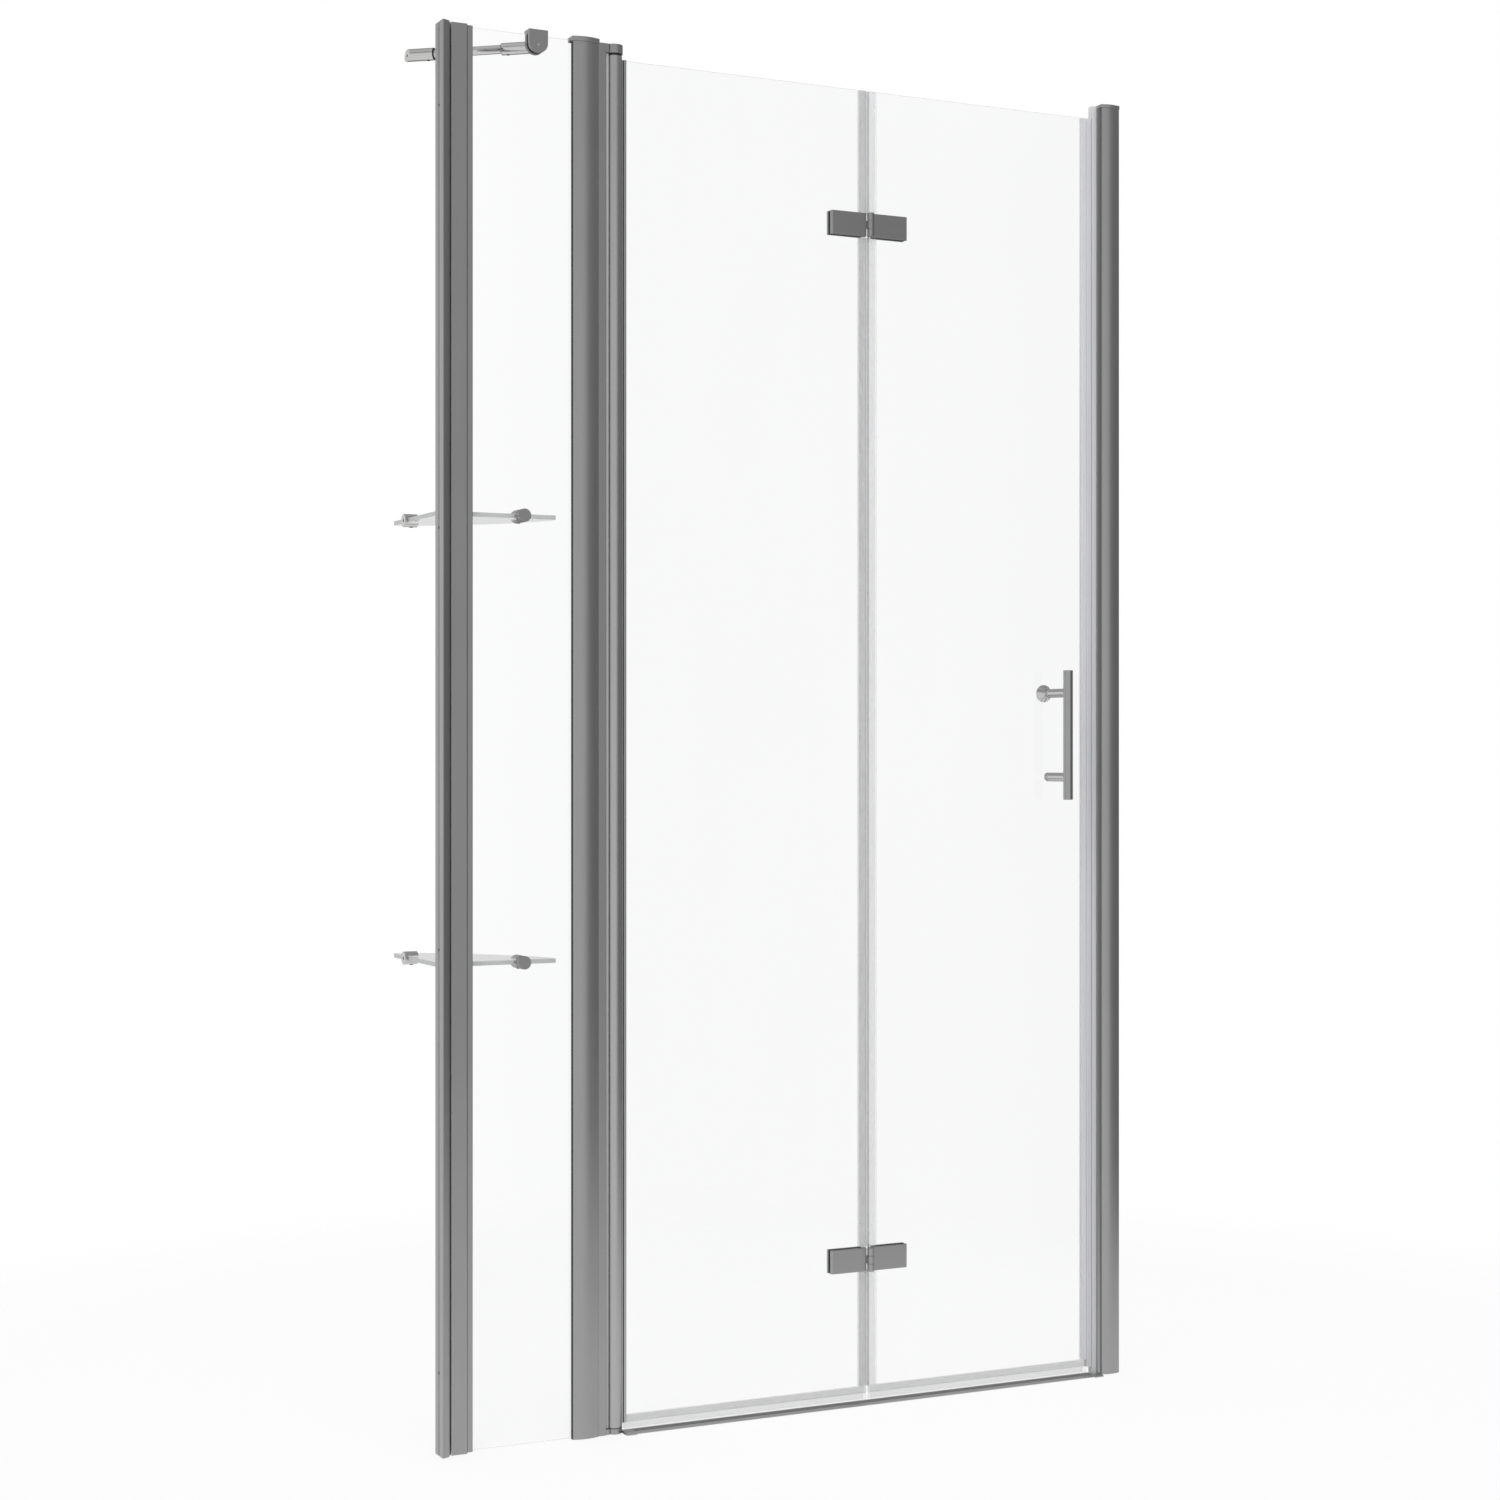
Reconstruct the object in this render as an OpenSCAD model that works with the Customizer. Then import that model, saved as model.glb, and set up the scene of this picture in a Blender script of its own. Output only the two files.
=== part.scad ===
// Bifold shower door with a fixed side panel, two corner shelves and a support bar.
// X runs along the wall opening, +Y into the shower, +Z up from the tray. Millimetres.
// Y = 0 is the middle plane of the glass, X = 0 is midway between the two walls.

/* [Opening] */
// Clear width between the two side walls
opening_w = 1075; // [1040:1:1140]
// Height of the wall profiles above the tray
profile_h = 1900; // [1850:1:2000]
// Distance from the left wall to the middle post
fixed_w = 190.5; // [186:0.5:215]
// Distance from the pivot axis to the fold axis
inner_leaf_w = 394; // [375:1:415]

/* [Glass] */
// Thickness of every pane and shelf
glass_t = 6; // [5:0.5:7]
// Fixed pane's lower edge above the tray
fixed_glass_lift = 1; // [0.5:0.5:4]
// Fixed pane's top edge below the profile height
fixed_glass_drop = 1; // [0.5:0.5:2]
// Door panes' lower edge above the tray
door_glass_lift = 14; // [13.5:0.5:16]
// Door panes' top edge below the profile height
door_glass_drop = 20.5; // [20:0.5:30]
// Each door pane's edge to the fold axis
leaf_gap = 2.5; // [2.4:0.1:4]
// Radius of the holes drilled through the panes
glass_hole_r = 6; // [5.5:0.5:7]

/* [Left wall channel] */
// Thickness of the web against a side wall
wall_web_t = 2; // [1.6:0.1:3]
// Thickness of the straight channel walls
channel_t = 1.8; // [1.4:0.1:2.4]
// Thickness of the curved front wall
shell_t = 1.4; // [1.2:0.1:2]
// Distance from the glass plane to the foot of the curve on the wall
curve_foot = 22; // [20:0.5:26]
// Distance from the glass plane to the free lip of the curve
curve_lip = 16.6; // [15.6:0.2:18]
// Distance from the left wall to the free lip of the curve
curve_w = 11.2; // [10:0.2:12]
// Radius of the curved front wall
curve_r = 40; // [25:1:80]
// Width of the channel's rear wall
channel_rear_w = 20; // [18:0.5:26]
// Width of the drill guide groove in the wall web
guide_w = 3; // [2:0.5:4]
// Depth of the drill guide groove
guide_d = 0.7; // [0.3:0.1:1]
// Distance from the glass plane to the drill guide groove
guide_y = 6; // [4:0.5:6.5]
// Sliding gap between a wall profile and the profile in it
slide_gap = 0.2; // [0.1:0.05:0.4]

/* [Wall fixings] */
// Radius of the wall screw holes in both wall profiles
wall_hole_r = 2.5; // [2:0.25:3]
// Distance from each end of a wall profile to its first hole
wall_hole_end = 110; // [80:5:150]
// Number of wall screw holes in each profile
wall_holes = 4; // [3:1:4]

/* [Left adjusting profile] */
// Wall thickness of both adjusting profiles
adjust_t = 1.4; // [1.2:0.1:2]
// Distance from the left wall to the profile's open end
adjust_start = 6; // [4:0.5:8]
// Distance from the left wall to the profile's front face
adjust_face_x = 14.6; // [14:0.2:16]
// Step of the profile's sliding wall behind that face
adjust_step = 4.5; // [3:0.5:5]
// Distance from the left wall to the glass pocket
pocket_x = 37.6; // [34:0.2:42]
// Depth of the glass pocket
pocket_d = 9.8; // [8:0.2:14]
// Distance from the glass plane to the profile's front face
adjust_front = 13; // [11:0.5:14]
// Thickness of the pocket's front lip
pocket_lip_t = 1.8; // [1.4:0.1:2.4]
// Thickness of the front glazing gasket
front_gasket_t = 2.2; // [1.6:0.1:2.4]
// Thickness of the rear glazing gasket
rear_gasket_t = 1.6; // [1.2:0.1:2]
// Gap between a pane's edge and the bottom of its pocket
pane_gap = 0.4; // [0.2:0.1:0.8]

/* [Profile screws] */
// Radius of the screws that join the sliding profiles
screw_r = 1.75; // [1.5:0.25:2]
// Radius of their countersunk heads
screw_head_r = 3.5; // [3:0.25:4]
// Length of these screws
screw_len = 9; // [7:0.5:10]
// Distance from each wall to these screws
screw_x = 13; // [10.5:0.5:15]
// Distance from each end of a wall profile to the first of these screws
screw_end = 150; // [130:5:250]

/* [Middle post] */
// Width of the post
post_w = 37.5; // [34:0.5:44]
// Distance from the glass plane to the post's front corners
post_front = 9; // [8.5:0.5:12]
// Rise of the post's rounded front over its corners
post_bow = 4; // [2:0.5:6]
// Distance from the glass plane to the post's back
post_back = 8; // [7.5:0.5:10]
// Wall thickness of the post
post_t = 1.8; // [1.4:0.1:2.4]
// Depth of the post's glass pocket
post_pocket_d = 10.5; // [9:0.5:13]
// How much shorter that pocket's rear lip is than its front lip
rear_lip_inset = 5; // [3:0.5:5]
// Depth of the fixed pane in that pocket
glass_bite = 8.5; // [6:0.5:8.5]
// Thickness of the post's glazing gaskets
post_gasket_t = 2; // [1.4:0.1:2.4]
// Post's top below the profile height
post_drop = 3; // [2:0.5:6]
// Thickness of the post's cap
post_cap_t = 6; // [5:0.5:9]
// Overhang of the profile caps
cap_over = 1.2; // [0.6:0.1:1.4]
// Depth of the lugs under the profile caps
cap_lug = 8; // [5:0.5:12]
// Half height of the tongue slot's neck in the post
tongue_half = 3; // [2.4:0.1:3.6]

/* [Pivot side] */
// Width of the pivot profile
pivot_profile_w = 11.5; // [11:0.5:14]
// Half depth of the pivot profile
pivot_profile_half = 8; // [7.6:0.2:9]
// Wall thickness of the pivot profile
pivot_profile_t = 1.6; // [1.2:0.1:1.8]
// Pivot profile's top below the profile height
pivot_drop = 1; // [0.5:0.5:2]
// Distance from the pivot profile to the pivot axis
pivot_gap = 15; // [14.5:0.5:18]
// Radius of the upper pivot block's round end
block_r = 12; // [11.5:0.25:12.5]
// Radius of the lower pivot block's round end
lower_block_r = 11; // [10.5:0.25:11.5]
// How far the blocks' square ends stand out of the pivot profile
block_out = 4.7; // [4:0.1:5]
// Height of the upper pivot block
upper_block_h = 12; // [10:0.5:12.5]
// Height of the lower block's top above the tray
lower_block_top = 8; // [7:0.5:8]
// Lower block's underside above the tray
lower_block_lift = 0.5; // [0.5:0.1:1]
// Radius of the pivot pins
pivot_pin_r = 4; // [3.5:0.25:4.5]
// Length of a pivot pin inside the stile
pin_reach = 22; // [15:1:30]
// Radial running clearance of the pivot and fold pins
run_gap = 0.06; // [0.03:0.01:0.08]

/* [Door stile] */
// Radius of the round stile
stile_r = 11; // [10:0.25:11.5]
// Wall between the bush and the stile's glass pocket
stile_web = 1.5; // [1.2:0.1:2]
// Radius of the bushes' sleeves
bush_r = 6; // [5.5:0.25:6.5]
// Length of the bushes' sleeves
bush_len = 27; // [23:1:40]
// Depth of the stile's glass pocket
stile_pocket_d = 8; // [7:0.5:12]
// Wall thickness beside that pocket
stile_wall_t = 2.4; // [2.2:0.1:3]
// Thickness of the stile's glazing gaskets
stile_gasket_t = 1.6; // [1.2:0.1:2]
// Stile's lower end above the tray
stile_lift = 9; // [9:0.5:12]
// Stile's top end below the profile height
stile_drop = 16; // [16:0.5:18]

/* [Seals] */
// Thickness of a seal's leg on the glass
seal_leg_t = 1.2; // [0.8:0.1:1.4]
// Length of the centre seals' legs
centre_leg = 11.8; // [9:0.2:14]
// Length of the drip seals' legs
drip_leg = 9.6; // [8:0.2:12]
// Height of the drip seals' fins above the tray
drip_clear = 3.7; // [3.6:0.1:6]
// Width of the magnet seals' boxes
magnet_box_w = 8.3; // [7.4:0.1:8.6]
// Half depth of the magnet seals' boxes
magnet_box_half = 5; // [4.6:0.1:5.4]
// Wall thickness of the magnet seals' boxes
magnet_box_t = 1.1; // [0.9:0.1:1.3]
// Thickness of the magnet strips
magnet_t = 4; // [3:0.1:4.6]
// Closing gap between the two magnet seals
closing_gap = 0.9; // [0.8:0.1:0.95]

/* [Right wall profile] */
// Width of the right wall profile
right_w = 31; // [30:0.5:38]
// Distance from the glass plane to its front corners
right_front = 9; // [8.8:0.2:11]
// Rise of its rounded front over its corners
right_bow = 3.6; // [2:0.2:5]
// How far the magnet profile stands out of it
magnet_reach = 6.2; // [5.4:0.2:9]
// How far the magnet profile goes into it
magnet_insert = 24; // [22:0.5:26]
// Right profile's top below the profile height
right_drop = 3; // [2:0.5:6]
// Thickness of the right profile's cap
right_cap_t = 5; // [3:0.5:7]

/* [Fold hinges] */
// Height of the lower hinge's middle
hinge_low_z = 206; // [180:1:260]
// Upper hinge's middle below the profile height
hinge_top_drop = 213.5; // [190:0.5:260]
// Height of a hinge
hinge_h = 33.4; // [30:0.2:40]
// Length of a hinge plate from the fold axis
hinge_reach = 61.5; // [55:0.5:70]
// Gap between a front plate and the fold axis
hinge_inset = 5.3; // [5.3:0.1:6]
// Thickness of the front plates
hinge_plate_t = 5; // [4:0.5:5.5]
// Thickness of the back plates
hinge_back_t = 4.5; // [3.5:0.5:6]
// Thickness of the hinge gaskets
hinge_gasket_t = 1; // [0.8:0.1:1.4]
// Radius of a hinge's knuckles
knuckle_r = 5; // [4.6:0.1:5]
// Distance from the front plates' faces to the fold axis
knuckle_out = 2.5; // [2.4:0.1:3]
// Half height of the middle knuckle
knuckle_half = 5.6; // [4.5:0.1:7]
// Radius of the fold pins
fold_pin_r = 2.5; // [2:0.1:2.8]
// Radius of the hinge screws
hinge_screw_r = 3; // [2.5:0.25:3.25]
// Distance between the two screws of a hinge plate
hinge_screw_pitch = 24; // [20:1:28]

/* [Threshold] */
// Height of the threshold rail
rail_h = 3; // [2.6:0.1:3]
// Distance from the glass plane to the rail's front edge
rail_front = 19.5; // [18:0.5:21]
// Distance from the glass plane to the rail's back edge
rail_back = 9; // [7:0.5:11]
// Length of the rail's sloping front
rail_slope = 4.5; // [3:0.5:6]
// Distance from the pivot axis to the left end cap
rail_cap_start = 9.7; // [9:0.1:10.5]
// Length of an end cap
rail_cap_w = 15.1; // [12:0.1:22]
// Distance from the right end cap to the right wall profile
rail_end_gap = 5.4; // [4:0.1:8]

/* [Corner shelves] */
// Height of the lower shelf's middle
shelf_low_z = 649; // [500:1:750]
// Height of the upper shelf's middle
shelf_high_z = 1250.5; // [1100:0.5:1400]
// Length of a shelf along the fixed pane
shelf_w = 168; // [150:1:175]
// Length of a shelf along the wall
shelf_d = 182; // [165:1:195]
// Straight end of a shelf's long edges
shelf_end = 16; // [8:0.5:24]
// Radius of a shelf's bowed front edge
shelf_bow_r = 365; // [250:5:600]
// Gap between a shelf and the left wall
shelf_wall_gap = 4; // [3.6:0.1:5]
// Gap between a shelf and the fixed pane
shelf_glass_gap = 7; // [6.4:0.1:8]
// Distance from the left wall to the shelves' glass clamps
clamp_x = 120.3; // [100:0.1:130]
// Distance from the glass plane to the shelves' wall brackets
bracket_y = 140; // [110:1:150]
// Radius of the shelf brackets and clamps
holder_r = 9; // [8.5:0.25:10.5]
// Length of a shelf bracket
bracket_len = 19; // [16:0.5:24]
// Length of a shelf clamp
clamp_len = 20; // [17:0.5:25]
// Thickness of the web behind a shelf slot
slot_web = 3.5; // [3:0.1:3.5]
// Thickness of a shelf clamp's front cap
clamp_cap_t = 6; // [5:0.5:8]
// Radius of the clamp bolts
clamp_bolt_r = 3; // [2.5:0.25:3.5]
// Radius of the wall screw holes in the brackets and the bar's foot
bracket_hole_r = 2.25; // [2:0.25:2.5]
// Radius of the shelf set screws
set_screw_r = 2.5; // [2:0.25:3]
// Thickness of the washers on the panes
washer_t = 1; // [0.8:0.1:1.4]

/* [Support bar] */
// Support bar's axis below the profile height
bar_drop = 14.6; // [12:0.2:18]
// Distance from the left wall to the bar's end on the fixed pane
bar_glass_x = 140.4; // [120:0.1:150]
// Distance from the glass plane to the bar's end on the wall
bar_wall_y = 124; // [100:1:135]
// Radius of the bar
bar_r = 6; // [5:0.25:6.5]
// Wall thickness of the bar's tube
bar_t = 1; // [0.8:0.1:1.5]
// Radius of the wall sleeve
wall_sleeve_r = 8.5; // [8:0.25:9.5]
// Length of the wall sleeve along the bar
wall_sleeve_len = 39; // [34:1:50]
// Radius of the glass sleeve
glass_sleeve_r = 8.25; // [8:0.25:9]
// Length of the glass sleeve along the bar
glass_sleeve_len = 45; // [38:1:52]
// Thickness of the foot that holds the bar to the wall
wall_foot_t = 3; // [2.5:0.1:4]
// Thickness of the web that closes the glass sleeve
sleeve_web = 3; // [2.5:0.1:4]
// Thickness of the rings at the sleeves' ends
ring_t = 0.8; // [0.6:0.1:2]
// Half width of the clamp on the fixed pane's top edge
top_clamp_half = 13.5; // [13:0.25:15]
// Half depth of that clamp
top_clamp_y = 9.3; // [9:0.1:11]
// Height of the clamp's bridge over the pane
top_clamp_bridge = 5.7; // [4:0.1:7]
// Distance from the clamp's top down to its round foot's centre
top_clamp_drop = 17.7; // [16:0.1:20]
// Thickness of the clamp's gasket
top_gasket_t = 0.9; // [0.6:0.1:1.2]

/* [Handle] */
// Distance from the outer pane's free edge to the handle
handle_inset = 62; // [50:1:90]
// Height of the handle's middle
handle_z = 957; // [900:1:1050]
// Length of the handle bar
handle_len = 190; // [170:1:260]
// Distance between the handle's posts
handle_pitch = 124; // [110:1:150]
// Radius of the handle bar
handle_r = 7; // [6:0.25:8]
// Radius of the handle's posts
handle_post_r = 6.5; // [6.5:0.25:7]
// Distance from the glass plane to the handle bar's axis
handle_out = 50; // [45:1:52]
// Radius of the knob inside the shower
knob_r = 12.8; // [11:0.2:15]
// Distance from the glass plane to the knob's face
knob_out = 20; // [18:0.5:26]

/* [Hidden] */
$fn = 72;
// small overlap for cuts
eps = 1;
// clearance of fixed screws, bolts and sleeves in their holes
fit_gap = 0.05;
// clearance of collars in the glass holes
collar_gap = 0.2;
// clearance between parts that pass each other
pass_gap = 0.3;

glass_half = glass_t / 2;
fixed_top = profile_h - fixed_glass_drop;
door_top = profile_h - door_glass_drop;

// left side, measured from the left wall
front_lip_y = glass_half + front_gasket_t;
rear_lip_y = glass_half + rear_gasket_t;
adjust_back = rear_lip_y + adjust_t;
channel_back = adjust_back + slide_gap + channel_t;
slide_y = -adjust_front + adjust_step;
guide_x1 = curve_w - 1;
edge_cut = 0.8;
lip_groove_w = 2.2;
lip_groove_d = 1;
fixed_x0 = pocket_x + pane_gap;
gasket_gap = 0.4;
profile_screw_zs = [screw_end, profile_h / 2, profile_h - screw_end];

// middle post and pivot
post_x0 = fixed_w;
post_x1 = fixed_w + post_w;
post_top = profile_h - post_drop;
post_pocket_half = glass_half + post_gasket_t;
fixed_x1 = post_x0 + glass_bite;
rear_lip_x = post_x0 + rear_lip_inset;
gasket_flange = 0.5;
head_half = tongue_half + 1.8;
head_t = 2.3;
pivot_x0 = post_x1;
pivot_x1 = post_x1 + pivot_profile_w;
pivot_top = profile_h - pivot_drop;
pivot_x = pivot_x1 + pivot_gap;
upper_block_z = pivot_top - upper_block_h;
block_half = pivot_profile_half - pivot_profile_t - slide_gap;
wiper_half = 5;
wiper_neck = 1;
wiper_head = 3;
pin_end_gap = 0.5;
bore_end = 1.5;

// inner leaf
stile_top = profile_h - stile_drop;
stile_pocket_x = pivot_x + bush_r + stile_web;
stile_end = stile_pocket_x + stile_pocket_d;
stile_pocket_half = glass_half + stile_gasket_t;
stile_half = stile_pocket_half + stile_wall_t;
inner_x0 = stile_pocket_x + pane_gap;
fold_x = pivot_x + inner_leaf_w;
inner_x1 = fold_x - leaf_gap;
stile_groove_w = 1.7;
stile_groove_x = stile_end - stile_groove_w - 3.7;
stile_groove_d = 1.6;
flange_r = stile_r - 0.5;
bush_gap = 0.3;

// right side, measured back from the right wall
right_x0 = opening_w - right_w;
right_top = profile_h - right_drop;
magnet_x0 = right_x0 - magnet_reach;
magnet_x1 = right_x0 + magnet_insert;
magnet_front = right_front - channel_t - slide_gap;
seal_neck_gap = 0.2;
wall_seal_x1 = magnet_x0 - seal_neck_gap;
wall_seal_x0 = wall_seal_x1 - magnet_box_w;
door_seal_x1 = wall_seal_x0 - closing_gap;
door_seal_x0 = door_seal_x1 - magnet_box_w;
outer_x0 = fold_x + leaf_gap;
outer_x1 = door_seal_x0 - seal_neck_gap;
seal_back = glass_half + seal_leg_t;
seal_web_t = 0.8;
seal_nose_gap = 0.5;
magnet_leg = 8.4;
magnet_gap = 0.15;
magnet_lip_half = magnet_box_half - 1.6;
drip_top = door_glass_lift + drip_leg;
drip_web_z = door_glass_lift - seal_leg_t;
drip_end_gap = 1;
drip_tuck = 3.5;
fin_y0 = seal_back - 0.2;
fin_y1 = seal_back + 1.5;
fin_tip_t = 0.9;

// threshold
rail_cap_x0 = pivot_x + rail_cap_start;
rail_x0 = rail_cap_x0 + rail_cap_w;
rail_cap_x1 = right_x0 - rail_end_gap;
rail_x1 = rail_cap_x1 - rail_cap_w;
rail_lip = 0.6;
rail_cap_grow = 0.3;
rail_cap_front = 3.5;
rail_cap_wall = 1;
rail_cap_floor = 0.6;

// fold hinges
hinge_zs = [hinge_low_z, profile_h - hinge_top_drop];
hinge_face = glass_half + hinge_gasket_t + hinge_plate_t;
hinge_seat = glass_half + hinge_gasket_t;
fold_y = -(hinge_face + knuckle_out);
hinge_back_step = 3.2;
hinge_back_x = hinge_inset + hinge_back_step;
hinge_screw_mid = (hinge_inset + hinge_reach) / 2;
hinge_screw_head_r = hinge_screw_r + 2.6;
hinge_screw_tip = 1.5;
hinge_screw_len = hinge_back_t + hinge_seat + hinge_face - hinge_screw_tip - 0.5;
arm_t = 2.5;
arm_bite = 2;
plate_bevel = 1.6;

// shelves
shelf_zs = [shelf_low_z, shelf_high_z];
shelf_y = glass_half + shelf_glass_gap;
slot_up = 0.05;
slot_down = 0.3;
set_screw_tip = 0.05;
washer_y = glass_half + washer_t;
clamp_y1 = washer_y + clamp_len;
bolt_end_y = washer_y + slot_web;
bolt_bore_y = bolt_end_y + 0.5;
slot_y = bolt_end_y + 1.5;
bolt_tip = 4;
bracket_screw_x = (slot_web + bracket_len) / 2;
clamp_screw_y = (slot_y + clamp_y1) / 2;

// support bar
bar_z = profile_h - bar_drop;
bar_dx = -bar_glass_x;
bar_dy = bar_wall_y - top_clamp_y;
bar_len = sqrt(bar_dx * bar_dx + bar_dy * bar_dy);
bar_angle = atan2(bar_dy, bar_dx);
bar_end_gap = 16;
top_clamp_z1 = fixed_top + top_gasket_t + top_clamp_bridge;
top_clamp_z0 = top_clamp_z1 - top_clamp_drop;
top_slot_half = glass_half + top_gasket_t;
top_gasket_inset = 0.5;
small_screw_r = 2;
screw_proud = 0.4;
stub_screw_r = 2.4;
stub_head_t = 2.2;
sleeve_screw_end = 8;
wall_screw_s = bar_len - wall_sleeve_len + sleeve_screw_end;
glass_screw_s = glass_sleeve_len - sleeve_screw_end;
ring_step = 0.3;
bar_clear = 2 * wall_sleeve_r;

// handle
handle_x = outer_x1 - handle_inset;
handle_post_zs = [handle_z - handle_pitch / 2, handle_z + handle_pitch / 2];
stud_len = 14;
stud_r = 3;
stud_y0 = -washer_y - stud_len;
cap_r = handle_post_r;
cap_out = 5;
cap_bevel = 1.5;
knob_neck = 4;
knob_rim_t = 2.2;
knob_dish = 2;

// ---- shared shapes ----

// Moves what is measured from the left wall into the door's own frame
module from_wall() {
    translate([-opening_w / 2, 0, 0]) children();
}

module rect(x0, x1, y0, y1) {
    translate([x0, y0]) square([x1 - x0, y1 - y0]);
}

// Rectangle whose two corners at y0 are cut off by left and right
module cut_rect(x0, x1, y0, y1, left, right) {
    polygon([
        [x0, y1],
        [x0, y0 + left],
        [x0 + left, y0],
        [x1 - right, y0],
        [x1, y0 + right],
        [x1, y1]
    ]);
}

module upright(z0, z1) {
    translate([0, 0, z0]) linear_extrude(z1 - z0) children();
}

module block(x0, x1, y0, y1, z0, z1) {
    translate([x0, y0, z0]) cube([x1 - x0, y1 - y0, z1 - z0]);
}

module rod_x(x0, x1, y, z, r) {
    translate([x0, y, z]) rotate([0, 90, 0]) cylinder(r = r, h = x1 - x0);
}

module rod_y(y0, y1, x, z, r) {
    translate([x, y0, z]) rotate([-90, 0, 0]) cylinder(r = r, h = y1 - y0);
}

module rod_z(z0, z1, x, y, r) {
    translate([x, y, z0]) cylinder(r = r, h = z1 - z0);
}

// Radius of an arc over a chord of width w that rises by rise
function arc_r(w, rise) = (w * w / 4 + rise * rise) / (2 * rise);

// Centre of the circle of radius r through p and q, on the left of the way from p to q
function arc_centre(p, q, r) =
    let (half = norm(q - p) / 2, side = [p[1] - q[1], q[0] - p[0]] / norm(q - p))
    (p + q) / 2 + side * sqrt(r * r - half * half);

// The circle that carries a rounded front, made smaller by inset
module front_circle(x0, x1, front, bow, inset) {
    r = arc_r(x1 - x0, bow);
    translate([(x0 + x1) / 2, r - front - bow]) circle(r - inset, $fn = 180);
}

// Solid outline of a profile with a rounded front, grown by over
module bowed_outline(x0, x1, front, bow, back, over) {
    rect(x0 - over, x1 + over, -front, back + over);
    intersection() {
        front_circle(x0, x1, front, bow, -over);
        rect(x0 - over, x1 + over, -front - bow - 2 * over, 0);
    }
}

// Countersunk screw driven along -Y from a rear face, grown by gap
module rear_screw(x, y_face, z, r, head_r, len, gap) {
    translate([x, y_face, z]) rotate([90, 0, 0]) {
        cylinder(r = r + gap, h = len + gap);
        cylinder(r1 = head_r + gap, r2 = r + gap, h = head_r - r);
    }
}

module wall_hole_row(x0, x1, y) {
    pitch = (profile_h - 2 * wall_hole_end) / (wall_holes - 1);
    for (i = [0:wall_holes - 1])
        rod_x(x0, x1, y, wall_hole_end + i * pitch, wall_hole_r);
}

// Flat washer with a collar in a drilled pane; side is -1 outside, 1 inside the shower
module collar_washer(x, z, r, t, bore_r, side) {
    collar_len = glass_half - collar_gap;
    difference() {
        union() {
            rod_y(min(side * glass_half, side * (glass_half + t)),
                max(side * glass_half, side * (glass_half + t)), x, z, r);
            rod_y(min(side * (glass_half - collar_len), side * glass_half),
                max(side * (glass_half - collar_len), side * glass_half),
                x, z, glass_hole_r - collar_gap);
        }
        rod_y(-glass_t - t, glass_t + t, x, z, bore_r + fit_gap);
    }
}

// ---- left wall channel and its adjusting profile ----

module curved_shell() {
    centre = arc_centre([0, -curve_foot], [curve_w, -curve_lip], curve_r);
    intersection() {
        difference() {
            translate(centre) circle(curve_r, $fn = 180);
            translate(centre) circle(curve_r - shell_t, $fn = 180);
        }
        rect(0, curve_w, -curve_foot - eps, -adjust_front - slide_gap);
    }
}

module left_wall_channel() {
    color("#9b9ea1") from_wall() difference() {
        upright(0, profile_h) difference() {
            union() {
                rect(0, wall_web_t, -curve_foot, channel_back);
                rect(0, channel_rear_w, channel_back - channel_t, channel_back);
                rect(0, guide_x1, slide_y - slide_gap - channel_t, slide_y - slide_gap);
                curved_shell();
            }
            rect(-eps, guide_d, -guide_y - guide_w / 2, -guide_y + guide_w / 2);
        }
        wall_hole_row(-eps, wall_web_t + eps, -guide_y);
        for (z = profile_screw_zs)
            rear_screw(screw_x, channel_back, z, screw_r, screw_head_r, screw_len, fit_gap);
    }
}

module left_adjusting_profile() {
    color("#8f9295") from_wall() difference() {
        upright(0, profile_h) {
            cut_rect(adjust_face_x, pocket_x, -adjust_front, -adjust_front + adjust_t,
                edge_cut, edge_cut);
            rect(adjust_face_x, adjust_face_x + adjust_t, -adjust_front + edge_cut, slide_y + adjust_t);
            rect(adjust_start, adjust_face_x + adjust_t, slide_y, slide_y + adjust_t);
            rect(pocket_x - adjust_t, pocket_x, -adjust_front + edge_cut, adjust_back);
            rect(pocket_x - adjust_t, pocket_x + lip_groove_w + adjust_t,
                -front_lip_y - pocket_lip_t + lip_groove_d, -front_lip_y);
            cut_rect(pocket_x + lip_groove_w, pocket_x + pocket_d,
                -front_lip_y - pocket_lip_t, -front_lip_y, 0, edge_cut);
            rect(adjust_start, pocket_x + pocket_d, rear_lip_y, adjust_back);
        }
        for (z = profile_screw_zs)
            rear_screw(screw_x, channel_back, z, screw_r, screw_head_r, screw_len, fit_gap);
    }
}

module left_glazing_gaskets() {
    color("#c9cdd2") from_wall() upright(0, fixed_top) {
        rect(pocket_x + gasket_gap, pocket_x + pocket_d - gasket_gap, -front_lip_y, -glass_half);
        rect(pocket_x + gasket_gap, pocket_x + pocket_d - gasket_gap, glass_half, rear_lip_y);
    }
}

module fixed_glass() {
    color("#dfe8ea", 0.4) from_wall() difference() {
        block(fixed_x0, fixed_x1, -glass_half, glass_half, fixed_glass_lift, fixed_top);
        for (z = shelf_zs)
            rod_y(-glass_t, glass_t, clamp_x, z, glass_hole_r);
    }
}

// ---- middle post ----

module post_gaskets() {
    color("#1c1c1e") from_wall() upright(0, post_top) {
        rect(post_x0 - gasket_flange, post_x0, -post_front + pass_gap, -glass_half);
        rect(post_x0 - gasket_flange / 2, fixed_x1 - eps / 2, -post_pocket_half, -glass_half);
        rect(rear_lip_x - gasket_flange, rear_lip_x, glass_half, post_back - pass_gap);
        rect(rear_lip_x - gasket_flange / 2, fixed_x1 - eps / 2, glass_half, post_pocket_half);
    }
}

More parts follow.
